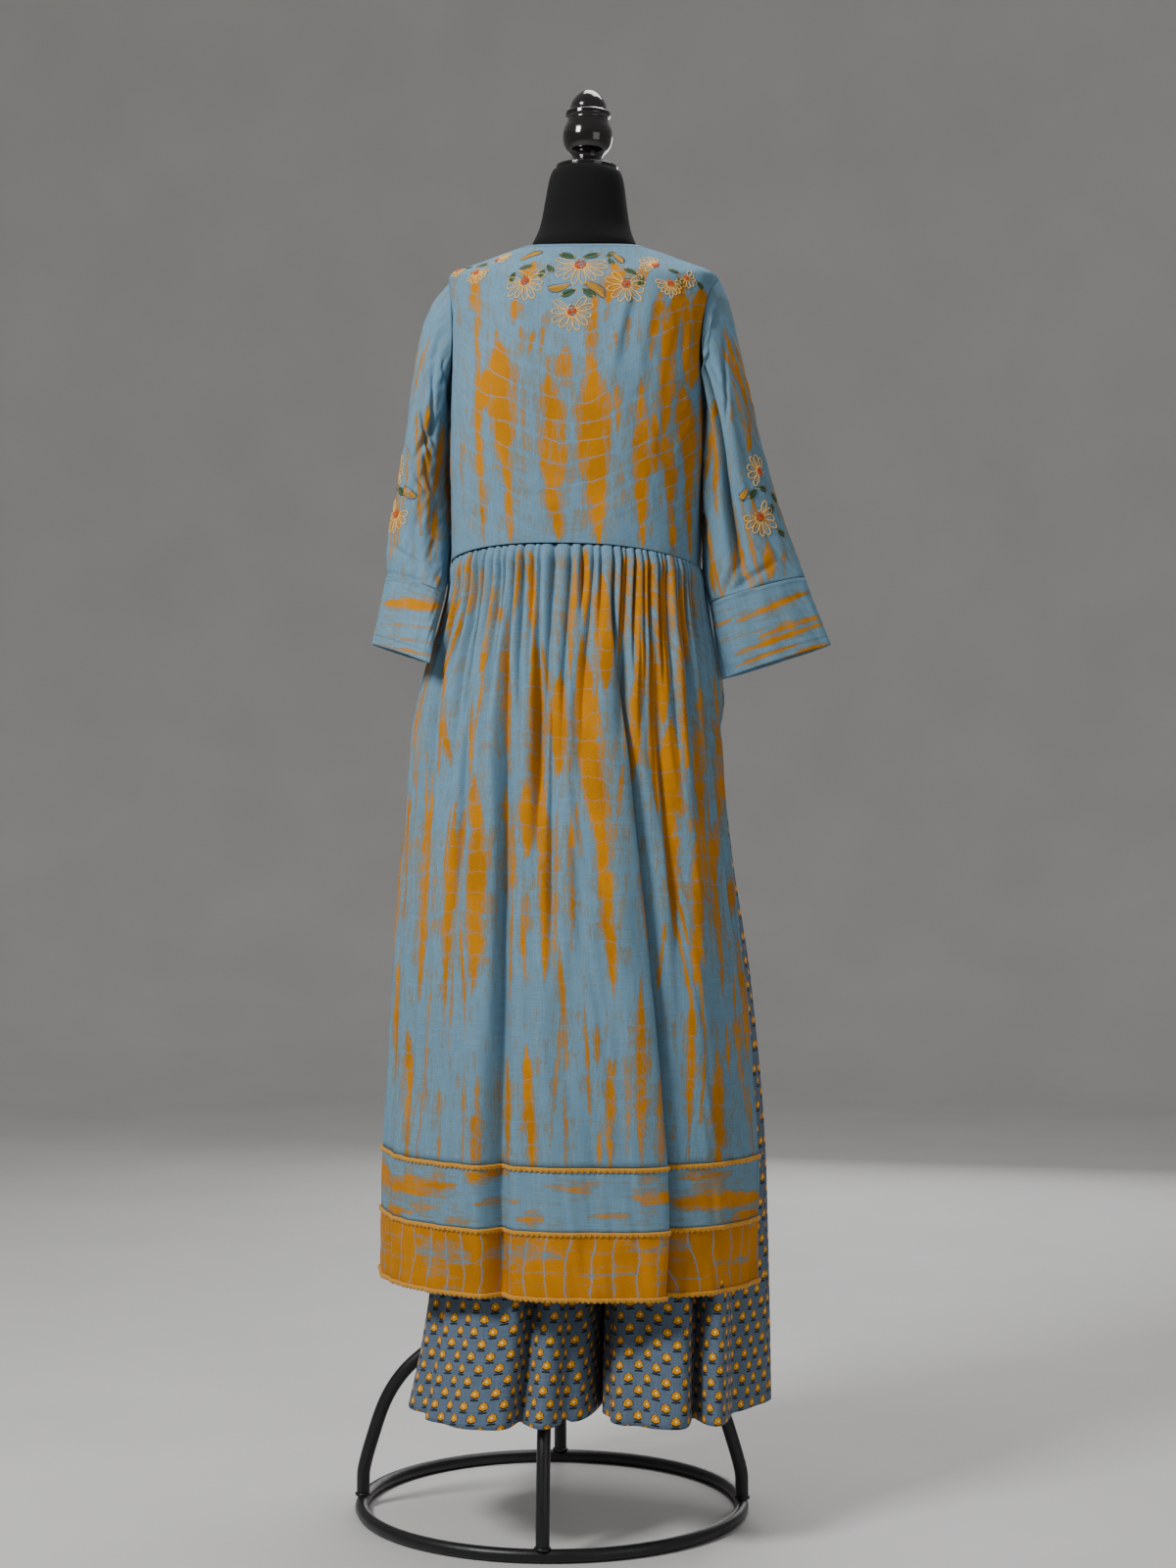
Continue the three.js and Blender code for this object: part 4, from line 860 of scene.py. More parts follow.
def chain(path, kind, link=2.7, width=1.5, high=1.2):
    """Stitches end to end along a flat path."""
    path = np.asarray(path, float)
    run = np.concatenate([[0], np.cumsum(np.linalg.norm(np.diff(path, axis=0), axis=1))])
    at = np.linspace(0, run[-1], max(int(round(run[-1] / link)), 1) + 1)
    spots = np.stack([np.interp(at, run, path[:, 0]), np.interp(at, run, path[:, 1])], 1)
    ahead = unit(np.diff(spots, axis=0))
    return stitches(*(spots[:-1] - 0.25 * ahead).T, *(spots[1:] + 0.25 * ahead).T, width, high, kind)


def turned_flat(flat, degrees):
    """Flat stitches turned about their origin, anticlockwise."""
    c, d = math.cos(math.radians(degrees)), math.sin(math.radians(degrees))
    turn = np.array([[c, d], [-d, c]])
    return np.hstack([flat[:, 0:2] @ turn, flat[:, 2:4] @ turn, flat[:, 4:]])


def daisy(reach, petals, start, sweep, beads, seed):
    """Petals as chain-stitch loops with a line of stitches inside, spread from start over sweep
    degrees anticlockwise from the right, round a centre of knots. Beads fill the rest of the turn."""
    chance = np.random.default_rng(seed)
    made = []
    reach = 1.1 * reach
    middle = 0.22 * reach
    round_loop = np.linspace(0, 2 * np.pi, 40)
    for k in range(petals):
        far = reach * chance.uniform(0.88, 1.06)
        half = min(4.4, 0.42 * math.radians(abs(sweep) / petals) * far) * chance.uniform(0.85, 1.1)
        out = middle + (far - middle) * (1 - np.cos(round_loop)) / 2
        loop = np.stack([out, half * np.sin(round_loop) * (0.55 + 0.45 * (1 - np.cos(round_loop)) / 2)], 1)
        petal = chain(loop, CREAM)
        if far > 15:
            inside = [(middle + 1, 0), (middle + 0.62 * (far - middle), 0)]
            petal = np.vstack([petal, chain(inside, CREAM, 2.4, 0.9, 0.8)])
        made.append(turned_flat(petal, start + sweep * (k + 0.5) / petals + chance.uniform(-3, 3)))
    knots = max(int(3.2 * middle), 7)
    angle = chance.uniform(0, 2 * np.pi, knots * 2)
    radius = middle * np.sqrt(chance.uniform(0, 1, knots * 2))
    spot = np.stack([radius * np.cos(angle), radius * np.sin(angle)], 1)
    lie = np.stack([np.cos(angle * 3), np.sin(angle * 3)], 1) * 0.9
    made.append(stitches(*(spot - lie).T, *(spot + lie).T, 1.9, 2.3, KNOT))
    made.append(stitches([-1.2], 0, 1.2, 0, 2.4, 2.2, KNOT))
    angle = np.radians(start + sweep + (360 - sweep) * np.arange(1, beads + 1) / (beads + 1))
    u, w = (middle + 2.6) * np.cos(angle), (middle + 2.6) * np.sin(angle)
    made.append(stitches(u - 0.9, w, u + 0.9, w, 1.9, 2.2, BEAD))
    return np.vstack(made)


def satin_leaf(long, half, degrees):
    """A pointed leaf of slanting satin stitches on both sides of its rib, its ends mustard on one side."""
    s = np.linspace(0.04, 0.96, int(long / 0.75))
    edge = half * np.sin(np.pi * s ** 0.85) ** 0.8
    tipped = np.where(edge < 0.55 * half, GOLD, LEAF)
    made = [stitches(s * long, 0, s * long + 0.7 * edge, side * edge, 1.0, 1.1, kind)
            for side, kind in ((1, LEAF), (-1, tipped))]
    return turned_flat(np.vstack(made), degrees)


def feather_leaf(long, half, degrees):
    """A curved leaf of open mustard stitches with a dotted navy edge."""
    s = np.linspace(0.03, 0.97, int(long / 1.6))
    bend = 0.1 * long * np.sin(np.pi * s)
    edge = half * np.sin(np.pi * s) ** 0.7
    tip = s * long + 0.8 * edge
    made = [chain(np.stack([s * long, bend], 1), GOLD, 2.2, 1.0, 0.9)]
    for side in (1, -1):
        made.append(stitches(s * long, bend, tip, bend + side * edge, 1.15, 1.1, GOLD))
        made.append(stitches(tip, bend + side * (edge + 0.3), tip + 0.9, bend + side * (edge + 1.1), 0.9, 1.0, NAVY))
    return turned_flat(np.vstack(made), degrees)


def lay(sewn, points, outward, spot, across):
    """Lays a flat motif on a cloth grid: its middle at the point spot, across its level direction.
    Each stitch drops onto the nearest place of the grid. Returns starts, ends, normals and the rest."""
    flat, normals = points.reshape(-1, 3), outward.reshape(-1, 3)
    near = np.argmin(((flat - spot) ** 2).sum(1))
    n = normals[near]
    right = unit(across - n * np.dot(across, n))
    up = np.cross(n, right)
    up = up * np.sign(up[2] if abs(up[2]) > 0.05 else 1)
    reach = np.abs(sewn[:, :4]).max() * 1.6 + 8
    close = np.flatnonzero(((flat - flat[near]) ** 2).sum(1) < reach ** 2)
    patch, patch_normals = flat[close], normals[close]
    ends = []
    for x, y in (sewn[:, 0:2].T, sewn[:, 2:4].T):
        place = flat[near] + x[:, None] * right + y[:, None] * up
        hit = np.argmin(((place[:, None] - patch[None]) ** 2).sum(2), axis=1)
        m = patch_normals[hit]
        ends.append((place - m * ((place - patch[hit]) * m).sum(1)[:, None], m))
    (starts, m0), (stops, m1) = ends
    return starts, stops, unit(m0 + m1), sewn[:, 4], sewn[:, 5], sewn[:, 6].astype(int)


def sew(name, laid, looks):
    """One mesh of all the stitches given: each a five-sided spindle that lies half sunk in the cloth."""
    starts, ends, normals, width, high, kind = (np.concatenate(column) for column in zip(*laid))
    ring_at, ring_size = np.array([0.05, 0.3, 0.7, 0.95]), np.array([0.5, 1.0, 1.0, 0.5])
    turn = np.linspace(0, 2 * np.pi, 5, endpoint=False)
    run = ends - starts
    side = unit(np.cross(normals, run))
    starts = starts + normals * (0.3 * high)[:, None]
    centre = starts[:, None] + run[:, None] * ring_at[None, :, None]
    ring = (centre[:, :, None] + ring_size[None, :, None, None] * (
        side[:, None, None] * (np.cos(turn)[None, :] * width[:, None] / 2)[:, None, :, None]
        + normals[:, None, None] * (np.sin(turn)[None, :] * high[:, None] / 2)[:, None, :, None]))
    count = len(starts)
    vertices = np.concatenate([ring.reshape(count, 20, 3), starts[:, None], (starts + run)[:, None]], axis=1)
    k = np.arange(5)
    n = (k + 1) % 5
    quads = np.concatenate([np.stack([r * 5 + k, (r + 1) * 5 + k, (r + 1) * 5 + n, r * 5 + n], 1) for r in range(3)])
    tips = np.concatenate([np.stack([k, n, 20 + 0 * k], 1), np.stack([15 + n, 15 + k, 21 + 0 * k], 1)])
    base = np.arange(count)[:, None, None] * 22
    loops = np.concatenate([(quads[None] + base).ravel(), (tips[None] + base).ravel()])
    totals = np.concatenate([np.full(count * 15, 4), np.full(count * 10, 3)])
    mesh = mesh_of(name, vertices.reshape(-1, 3), loops, totals, looks)
    colours = np.concatenate([np.repeat(kind, 15), np.repeat(kind, 10)])
    mesh.polygons.foreach_set("material_index", colours.astype(np.int32))
    placed(name, mesh)


# Motifs: kind, millimetres across the back and height of its middle, then its own numbers.
NECKLINE = [
    ("daisy", 7, 1501, 29, 10, 150, 240, 2), ("daisy", 3, 1441, 23, 10, 130, 290, 5),
    ("daisy", -39, 1482, 23, 10, 150, 270, 4), ("daisy", 50, 1476, 23, 10, 125, 290, 4),
    ("daisy", -101, 1500, 15, 9, 190, 180, 0), ("daisy", -118, 1519, 17, 6, -70, 150, 0),
    ("daisy", 100, 1478, 16, 9, 170, 220, 0), ("daisy", 92, 1500, 19, 7, 80, 170, 0),
    ("daisy", 124, 1487, 12, 7, 210, 230, 0), ("daisy", -150, 1509, 11, 6, 150, 200, 0),
    ("leaf", 4, 1511, 17, 3.4, 158), ("leaf", 9, 1511, 17, 3.4, 22), ("leaf", 4, 1469, 15, 3.4, 205),
    ("leaf", 8, 1469, 15, 3.4, -30), ("leaf", -53, 1495, 13, 3.0, 245), ("leaf", -52, 1500, 14, 3.0, 20),
    ("leaf", -26, 1503, 12, 2.8, -55), ("leaf", -24, 1496, 11, 2.6, -110), ("leaf", 44, 1512, 11, 2.6, 60),
    ("leaf", 46, 1510, 10, 2.6, -60), ("leaf", 62, 1488, 15, 3.0, 150), ("leaf", 66, 1486, 13, 3.0, -95),
    ("leaf", 112, 1490, 12, 2.8, 160), ("leaf", 108, 1486, 10, 2.6, -40), ("leaf", -128, 1515, 12, 2.6, 195),
    ("leaf", -112, 1512, 11, 2.6, 170), ("leaf", -138, 1511, 10, 2.4, 150), ("leaf", 140, 1484, 12, 2.6, -20),
    ("feather", 2, 1477, 25, 4.4, 190), ("feather", 10, 1479, 30, 4.6, -38), ("feather", -72, 1512, 26, 3.6, 18),
    ("feather", 54, 1517, 22, 3.6, -46)]
SLEEVE_SPRAY = [
    ("daisy", 47, -211, 20, 6, 30, 200, 2), ("daisy", 75, -262, 22, 9, 150, 270, 3),
    ("leaf", 66, -228, 13, 3.2, 200), ("leaf", 62, -229, 12, 3.0, -20), ("leaf", 52, -262, 13, 3.0, 40),
    ("leaf", 50, -280, 12, 3.0, -30), ("feather", 84, -222, 22, 4.2, 190), ("leaf", 30, -236, 12, 3.0, -60)]


def motif(kind, size, *numbers, seed, mirror=1):
    """One flat motif from its own numbers, mirrored left to right where mirror is -1."""
    if kind == "daisy":
        made = daisy(size, *numbers, seed)
    elif kind == "leaf":
        made = satin_leaf(1.35 * size, 1.45 * numbers[0], numbers[1])
    else:
        made = feather_leaf(1.12 * size, 1.1 * numbers[0], numbers[1])
    made[:, [0, 2]] *= mirror
    return made


def nearest_place(across, up, u, w):
    """Row and column of the grid point nearest to (u, w) on the cloth."""
    return np.unravel_index(np.argmin((across - u) ** 2 + (up - w) ** 2), across.shape)


STEMS = [[(5, 1472), (5, 1462)], [(50, 1486), (74, 1497)], [(-39, 1492), (-50, 1500)],
         [(-110, 1515), (-134, 1512)], [(104, 1492), (118, 1490)]]
sprays = [(u, w, motif(kind, *numbers, seed=100 + number))
          for number, (kind, u, w, *numbers) in enumerate(NECKLINE)]
sprays += [(u0, w0, chain([(0, 0), (u1 - u0, w1 - w0)], CREAM, 2.4, 0.9, 0.8)) for (u0, w0), (u1, w1) in STEMS]
back_outward = outward_of(back_points, BODICE_CORE)
laid = []
for u, w, flat in sprays:
    spot = back_points[nearest_place(back_theta * DEGREE, back_points[..., 2], u, w)]
    laid.append(lay(flat, back_points, back_outward, spot, np.array((1.0, 0, 0))))
sew("embroidery_neckline_floss", laid, FLOSS)
for name, side in (("right", 1), ("left", -1)):
    grid, around, drop = sleeve_grids["sleeve", name]
    outward = outward_of(grid, grid.mean(1, keepdims=True), closed=True)
    laid = []
    for number, (kind, u, w, *numbers) in enumerate(SLEEVE_SPRAY):
        row, column = nearest_place(around, -drop, u, w)
        # Across the sleeve as seen from behind, so that the two sprays mirror each other.
        level = grid[row, (column - 3) % grid.shape[1]] - grid[row, (column + 3) % grid.shape[1]]
        flat = motif(kind, *numbers, seed=150 + number, mirror=side)
        laid.append(lay(flat, grid, outward, grid[row, column], level * side))
    sew(f"embroidery_sleeve_{name}_floss", laid, FLOSS)


# ---- skirt and hem bands ----------------------------------------------------------------------------
# Back and front skirt panels, gathered into the waist seam and open at the sides below the hip.
# Two bands of the same cloth, cut across it, make the hem.
SKIRT_AXIS_X = 32.4
SKIRT_DEGREE = 3.6                       # millimetres across the skirt for a degree
WAIST_BACK = 1167.4
SLIT_TOP = 1035.0
BAND_TOP, BAND_MIDDLE, BAND_BOTTOM = 443.0, 370.0, 292.0
SLIT_OPENING = {"back": (5.0, 12.0), "front": (5.0, 22.0)}      # degrees at a panel's two edges
SKIRT = rows("z left right depth", [
    [270, 241, 228, 214], [429, 238, 230, 207], [537, 233, 223, 201], [670, 226, 212, 192], [825, 214, 194, 178],
    [933, 205, 182, 164], [1022, 186, 171, 148], [1080, 166, 160, 133], [1125, 155.5, 154, 120.5],
    [1168, 152, 152, 115]])
# Folds: angle at the waist and at the hem, depth, half width in degrees, top, bottom, and 1 where
# the cloth beside it is folded over.
FOLDS = {
    "back": [
        [-74, -66, 6, 5, 1120, 300, 0], [-50, -54, 10, 6, 1130, 430, 0], [-36, -30, 12, 3.4, 1150, 700, 1],
        [-31, -26, -5, 3.5, 1140, 620, 0], [-21, -15, 25, 4.6, 1150, 200, 1], [-27, -21, -7, 5, 1140, 300, 0],
        [-9, -3, 14, 2.4, 1150, 780, 1], [-4, 1, 12, 2.4, 1150, 640, 1], [9, 14, 7, 4, 1140, 860, 0],
        [12, 35.5, 26, 6, 1165, 200, 1], [5, 28, -9, 6, 1150, 200, 0], [30, 33, 10, 2.2, 1150, 900, 1],
        [37, 43, 14, 3, 1150, 660, 1], [46, 52, -5, 6, 1120, 420, 0], [61, 77, 13, 3.2, 1120, 620, 1]],
    "front": [
        [112, 118, 10, 5, 1120, 380, 0], [132, 128, 14, 6, 1140, 220, 0], [150, 148, 9, 5, 1140, 560, 0],
        [163, 160, 20, 7, 1150, 200, 0], [176, 178, 9, 5, 1150, 620, 0], [189, 193, 22, 7, 1150, 200, 0],
        [204, 206, 8, 5, 1140, 640, 0], [221, 226, 15, 6, 1140, 240, 0], [243, 240, 9, 5, 1120, 420, 0]]}
GATHERS = {"back": 46, "front": 42}
MIDDLE = {"back": 0, "front": 180}       # angle of a panel's middle
HALF_SEAM = SEAM_GAP / 2


def waist_height(theta):
    return bodice_point(theta, 0 * theta)[..., 2]


def fallen(z):
    """0 at the waist seam to 1 at the hem."""
    return np.clip((WAIST_BACK - z) / (WAIST_BACK - BAND_BOTTOM), 0, 1)


def fold_depth(table, theta, z):
    """How far the cloth is drawn in: each fold is a Gaussian across, wandering from its waist angle to
    its hem angle, narrow above and full below, and fading in and out at its ends."""
    down = fallen(z)
    depth = np.zeros(np.broadcast(theta, z).shape)
    for waist, hem, deep, half, top, bottom, sharp in table:
        away = theta - mix(waist, hem, np.sqrt(down))
        reach = np.where((away < 0) & (sharp > 0), 0.45 * half, half) * mix(0.62, 1, smooth(0, 0.4, down))
        grown = smooth(top, top - 260, z) * smooth(bottom, bottom + 120, z)
        depth = depth + deep * mix(0.7, 1, down) * grown * np.exp(-(np.abs(away / reach) ** (1.5 if sharp else 2.0)))
    return depth


def gather_depth(part, theta, z):
    """Gathers below the waist seam: narrow valleys at uneven steps, each with its own depth and
    length, between ridges that stand a little proud."""
    chance = np.random.default_rng(11 if part == "back" else 12)
    count = GATHERS[part]
    spots = MIDDLE[part] + np.linspace(-88, 88, count) + chance.uniform(-1.1, 1.1, count)
    depth = np.zeros(np.broadcast(theta, z).shape)
    below = waist_height(theta) - z
    for spot in spots:
        long = chance.uniform(90, 460)
        deep = chance.uniform(6.0, 15.0)
        half = chance.uniform(0.75, 1.2)
        slant = chance.uniform(-2.0, 2.0)
        widen = half * (1 + below / 170)
        away = theta - spot - slant * below / 200
        grown = mix(0.4, 1, smooth(0, 30, below)) * (1 - smooth(0.3 * long, long, below))
        # Steeper on one side than on the other, as a tube of cloth that leans on its neighbour.
        away = np.where(away * slant > 0, away, 1.7 * away)
        depth = depth + deep * grown * np.exp(-(np.abs(away / widen) ** 1.3))
    return depth - 4.0 * smooth(-2, 18, below) * (1 - smooth(120, 320, below))


def skirt_point(part, theta, z):
    """The skirt's outside: a superellipse that widens downwards, drawn in by folds and gathers. Beside
    a sharp fold the ridge leans over it."""
    angle = np.radians(theta)
    exponent = 2 / mix(2.1, 2.5, smooth(950, 1150, z))
    half_width = np.where(np.sin(angle) < 0, along(SKIRT, "left", z), along(SKIRT, "right", z))
    x = half_width * signed_power(np.sin(angle), exponent)
    y = -along(SKIRT, "depth", z) * signed_power(np.cos(angle), exponent)
    around = theta * SKIRT_DEGREE
    uneven = 1.8 * ripple(around, z, 21, 60, 6) + 0.7 * ripple(around + 0.15 * z, z, 22, 24, 5)
    inward = fold_depth(FOLDS[part], theta, z) + gather_depth(part, theta, z) + uneven * smooth(1130, 950, z)
    scale = 1 - inward / np.hypot(x, y)
    aside = np.zeros_like(x)
    if part == "back":
        for start, finish, top, bottom, lean_over in ((8, 31.4, 1160, 250, 16), (-24.6, -18.6, 1010, 500, 9)):
            ridge = mix(start, finish, np.sqrt(fallen(z)))
            aside = aside + (lean_over * smooth(top, top - 260, z) * smooth(bottom - 60, bottom + 160, z)
                             * np.exp(-(((theta - ridge) / 3.0) ** 2)))
    x = SKIRT_AXIS_X + x * scale + aside * np.cos(angle)
    return np.stack([x, y * scale + aside * np.sin(angle), z + 0 * x], -1)


def skirt_grid(part, columns, heights):
    """Skirt points between the panel's edges: the side seams, drawn back along the slits."""
    s, below = np.meshgrid(np.linspace(-1, 1, columns), heights)
    left, right = SLIT_OPENING[part]
    opening = np.where(s > 0, right, left) if part == "back" else np.where(s > 0, left, right)
    reach = 90 - 0.08 - opening * smooth(SLIT_TOP + 5, SLIT_TOP - 110, below)
    theta = MIDDLE[part] + s * reach
    z = below + (waist_height(theta) - WAIST_BACK) * smooth(BAND_TOP, WAIST_BACK, below)
    return skirt_point(part, theta, z), theta, z


SKIRT_DYE = {
    # Degrees from the panel's middle and height, at the top and the foot; then as on the back.
    "back": [
        [-46.3, 1161, -42.0, 1082, 3.5, 0.8, 0.4], [-35.9, 1142, -33.7, 1093, 4.4, 0.45],
        [-22.9, 1095, -22.2, 1074, 2.3, 0.8], [-15.0, 1162, -15.0, 1112, 1.3, 0.7, 0.3],
        [-0.9, 1161, -0.2, 1048, 1.7, 0.45, 0.4], [6.7, 1160, 7.7, 1070, 1.8, 1.1, 0.4],
        [-7.7, 1059, -4.6, 812, 2.3, 1], [-8.3, 885, -7.7, 799, 2.6, 1], [0.5, 1009, 1.1, 896, 3.4, 1.15],
        [7, 1055, 15.1, 808, 4.4, 1.2, 0.55], [12.8, 1132, 15.4, 997, 2.9, 1.1, 0.45],
        [-31.1, 985, -27.7, 897, 2.6, 0.8], [-26.4, 900, -24.3, 810, 1.8, 0.85],
        [-32.2, 860, -30.8, 768, 2.2, 0.85], [-51.2, 872, -47.8, 631, 4.4, 1.05, 0.45],
        [-72.5, 868, -62.8, 710, 4.4, 0.9, 0.4], [-74.2, 1014, -64.8, 885, 4.4, 0.7],
        [-53.2, 1056, -39.7, 910, 2.9, 0.7], [-34.9, 860, -33.9, 630, 2.3, 1.05],
        [-24.0, 861, -23.3, 645, 2.6, 1.05, 0.45], [-14.1, 842, -12.8, 757, 2.1, 0.8],
        [-7.3, 764, -7.3, 702, 1.2, 0.7], [-2.9, 860, -1.5, 655, 1.7, 1, 0.4], [2, 696, 4.2, 559, 1.1, 0.8],
        [5.5, 861, 5.5, 691, 1.4, 0.65], [14.8, 860, 18, 643, 2.2, 1.1, 0.4], [23.9, 820, 25.1, 691, 0.9, 0.8],
        [23.9, 656, 24.5, 449, 1, 0.9], [28, 571, 27.6, 440, 0.9, 0.8], [42.9, 860, 41.4, 707, 2.9, 1.1, 0.4],
        [53.6, 842, 46.4, 648, 3.1, 1, 0.4], [45.1, 648, 42.3, 452, 1.3, 0.95, 0.4], [54.8, 575, 52.3, 433, 3.4, 1],
        [67.3, 846, 58.6, 759, 4.4, 0.75, 0.4], [77.9, 778, 73.2, 721, 3.2, 0.8], [66.7, 607, 68.6, 563, 3.4, 0.7],
        [-56.7, 594, -48.5, 434, 3.1, 0.9], [-34.9, 535, -33.5, 442, 1.4, 0.7],
        [-13.8, 573, -12.4, 443, 1.8, 0.95, 0.6], [-6.6, 583, -4.3, 439, 1.6, 1.1, 0.55],
        [-24.7, 555, -24.3, 439, 0.7, 0.7], [-20.9, 502, -20.6, 439, 1.2, 0.7], [3.9, 547, 4.2, 445, 0.9, 0.65],
        [13.3, 490, 13.3, 445, 0.9, 0.6], [16.7, 571, 16.1, 445, 1.4, 0.9], [21.7, 591, 21.1, 457, 1, 0.6],
        [13, 611, 13, 559, 1.1, 0.8], [16.8, 1149, 17.5, 1084, 3, 0.5], [26.8, 1144, 27.2, 1068, 3.5, 0.5],
        [35.5, 1154, 35.5, 1071, 3.8, 1.1, 0.4], [45.6, 1150, 41.8, 961, 4.4, 1.15], [33, 1076, 28, 884, 2.9, 1.05],
        [37.7, 1053, 37.3, 851, 3.1, 1.15], [44.9, 961, 42.6, 815, 4.2, 1.2],
        [69.4, 1138, 63.3, 1052, 4.4, 0.55, 0.4], [65, 1021, 55.7, 815, 4.4, 0.7], [80, 964, 70.4, 816, 4.4, 0.8],
        [-60, 1150, -54, 1050, 2.2, 0.9], [-66, 1140, -64, 960, 2.6, 0.8], [-28, 1150, -26, 1000, 2, 0.7],
        [-10, 1160, -8, 1060, 1.8, 0.9], [3, 1150, 3.6, 1010, 1.4, 0.8], [-19, 1080, -17, 900, 1.6, 0.8],
        [60, 1150, 57, 1020, 2.8, 0.95], [51, 1160, 49, 1060, 2, 0.8, 0.4], [62, 860, 60, 640, 2.6, 0.9],
        [24, 1158, 23, 1030, 2.6, 0.95, 0.4], [30, 1150, 30, 1040, 2.2, 0.9, 0.4], [55, 1110, 50, 960, 2.6, 0.95],
        [-56, 1154, -50, 1090, 2.4, 0.9, 0.4], [-70, 1120, -66, 990, 3, 0.9], [-48, 1040, -44, 900, 2, 0.8],
        [20.3, 1026, 20.7, 940, 1.4, 0.8], [52, 1080, 50, 900, 2.6, 0.9], [58, 940, 56, 760, 3.1, 0.85],
        [-70, 700, -66, 520, 3, 0.9], [-82, 900, -80, 640, 4.5, 0.9], [76, 700, 74, 560, 2.6, 0.8]]
        + scattered(51, 60, (-86, 84), (1150, 520), (60, 220), (0.4, 0.8)),
    "front": scattered(52, 60, (-88, 88), (1150, 560), (120, 330), (1.0, 4.0))
             + scattered(53, 60, (-88, 88), (1150, 480), (50, 160), (0.4, 0.9))}
# Bands: height and degrees from the panel's middle at a streak's two ends; half height, strength.
UPPER_DYE = {
    "back": [[403, -69, 418, -28, 13.2, 0.9], [432, -24, 435, -11, 5.4, 0.9], [422, -2, 422, 14, 6, 0.6],
             [399, -20, 404, -8, 2.4, 0.8], [377, -32, 377, -22, 4, 0.9], [385, -9, 384, -1, 4.2, 0.9],
             [412, 22, 409, 33, 8.4, 0.8], [403, 34, 392, 82, 9, 1.15], [377, 58, 377, 80, 6, 0.9],
             [388, -48, 392, -30, 4.8, 0.7], [390, 10, 389, 22, 3.6, 0.6], [412, -88, 410, -60, 14, 0.9],
             [430, 36, 428, 60, 5, 0.7], [378, -70, 380, -46, 6, 0.8]],
    "front": [[425, -70, 420, -20, 8, 0.9], [392, -40, 396, 10, 6, 0.9], [415, 0, 410, 40, 9, 1],
              [388, 30, 392, 80, 8, 0.9], [430, 50, 428, 84, 6, 0.8], [384, -86, 386, -56, 8, 0.9]]}
LOWER_BLUE = {
    "back": [[337, -44, 339, -22, 17, 0.9], [341, -19, 345, 3, 12, 0.8], [357, 18, 348, 44, 9, 0.7],
             [323, 8, 320, 24, 6, 0.5], [330, 50, 326, 74, 7, 0.6], [312, -84, 330, -60, 8, 0.6]],
    "front": [[345, -60, 340, -20, 12, 0.8], [330, 10, 336, 40, 14, 0.8], [352, 50, 350, 80, 8, 0.7]]}
skirt_cotton = dyed_cotton("dyed_cotton_skirt", rung_strength=0.6, rung_width=0.04)
band_cotton = dyed_cotton("dyed_cotton_band", rung_strength=0.3, across=True)
lower_cotton = dyed_cotton("dyed_cotton_lower_band", rung_strength=0.95, rung_width=0.09, across=True)
for part, columns in (("back", 500), ("front", 420)):
    drops = np.concatenate([np.linspace(0.4, 80, 20), np.linspace(86, WAIST_BACK - BAND_TOP - HALF_SEAM, 72)])
    points, theta, z = skirt_grid(part, columns, WAIST_BACK - drops)
    dye = streaks(theta - MIDDLE[part], z, SKIRT_DYE[part])
    skirt = piece(f"skirt_{part}_cloth", points, skirt_cotton, [f"skirt_{part}"], wall=CLOTH,
                  outward=(32, 0, 800), cut=laid_flat(points), marks={"dye": dye})
    for band, top, bottom, look, above in (
            ("band_upper", BAND_TOP - HALF_SEAM, BAND_MIDDLE + HALF_SEAM, band_cotton, f"skirt_{part}_cloth"),
            ("band_lower", BAND_MIDDLE - HALF_SEAM, BAND_BOTTOM, lower_cotton, f"band_upper_{part}_cloth")):
        points, theta, z = skirt_grid(part, columns, np.linspace(top, bottom, 16))
        if band == "band_upper":
            dye = streaks(z, theta - MIDDLE[part], UPPER_DYE[part])
        else:
            # The lower band was dipped whole: all mustard but for a few washed places.
            washed = streaks(z, theta - MIDDLE[part], LOWER_BLUE[part])
            dye = 1.05 + 0.2 * ripple(z * 3, theta * SKIRT_DEGREE, 71, 60, 4) - 0.62 * washed
        made = piece(f"{band}_{part}_cloth", points, look, [f"{band}_{part}"], wall=CLOTH,
                     outward=(32, 0, 400), cut=laid_flat(points), marks={"dye": dye})


# ---- picot trims --------------------------------------------------------------------------------------
# Three rows of narrow crocheted cotton edging, a twisted heading with a small loop every few
# millimetres, stitched along both band seams and the hem.
crochet = Look("mustard_crochet", roughness=0.75, Sheen_Weight=0.2)
twist = crochet.noise(crochet.flat(), 700, 3)
crochet.colour(crochet.mix(twist, (0.42, 0.17, 0.0), (0.72, 0.33, 0.006)))
crochet.bump(twist, 0.0005)
PICOT = 6.7


def picot_strip(part, top):
    """A ribbed cord along the skirt: a rounded section 5 mm high, whose lower edge swings out in a
    loop every PICOT millimetres, with slanting ribs."""
    columns = 1000 if part == "back" else 900
    points, _, _ = skirt_grid(part, columns, np.linspace(top, top - 4.4, 6))
    n = outward_of(points, (32, 0, 400))
    step = np.linalg.norm(np.diff(points[0], axis=0), axis=-1)
    phase = 2 * np.pi * np.concatenate([[0], np.cumsum(step)]) / PICOT
    down = np.linspace(0, 1, 6)[:, None]
    round_face = np.sin(np.pi * np.clip(down * 1.15, 0, 1)) ** 0.6
    rib = 0.5 + 0.5 * np.cos(2 * phase[None, :] + 4.5 * down)
    loops = smooth(0.35, 1, down) * (0.5 - np.abs(np.cos(phase[None, :] / 2 + 1.2)) * 2.2)
    swung = points + np.array([0, 0, 1]) * loops[..., None]
    outer = swung + n * (1.0 + 1.3 * round_face + 0.9 * rib * (1 - 0.3 * down))[..., None]
    inner = swung + n * 0.3
    return np.swapaxes(np.concatenate([outer, inner[::-1]]), 0, 1)


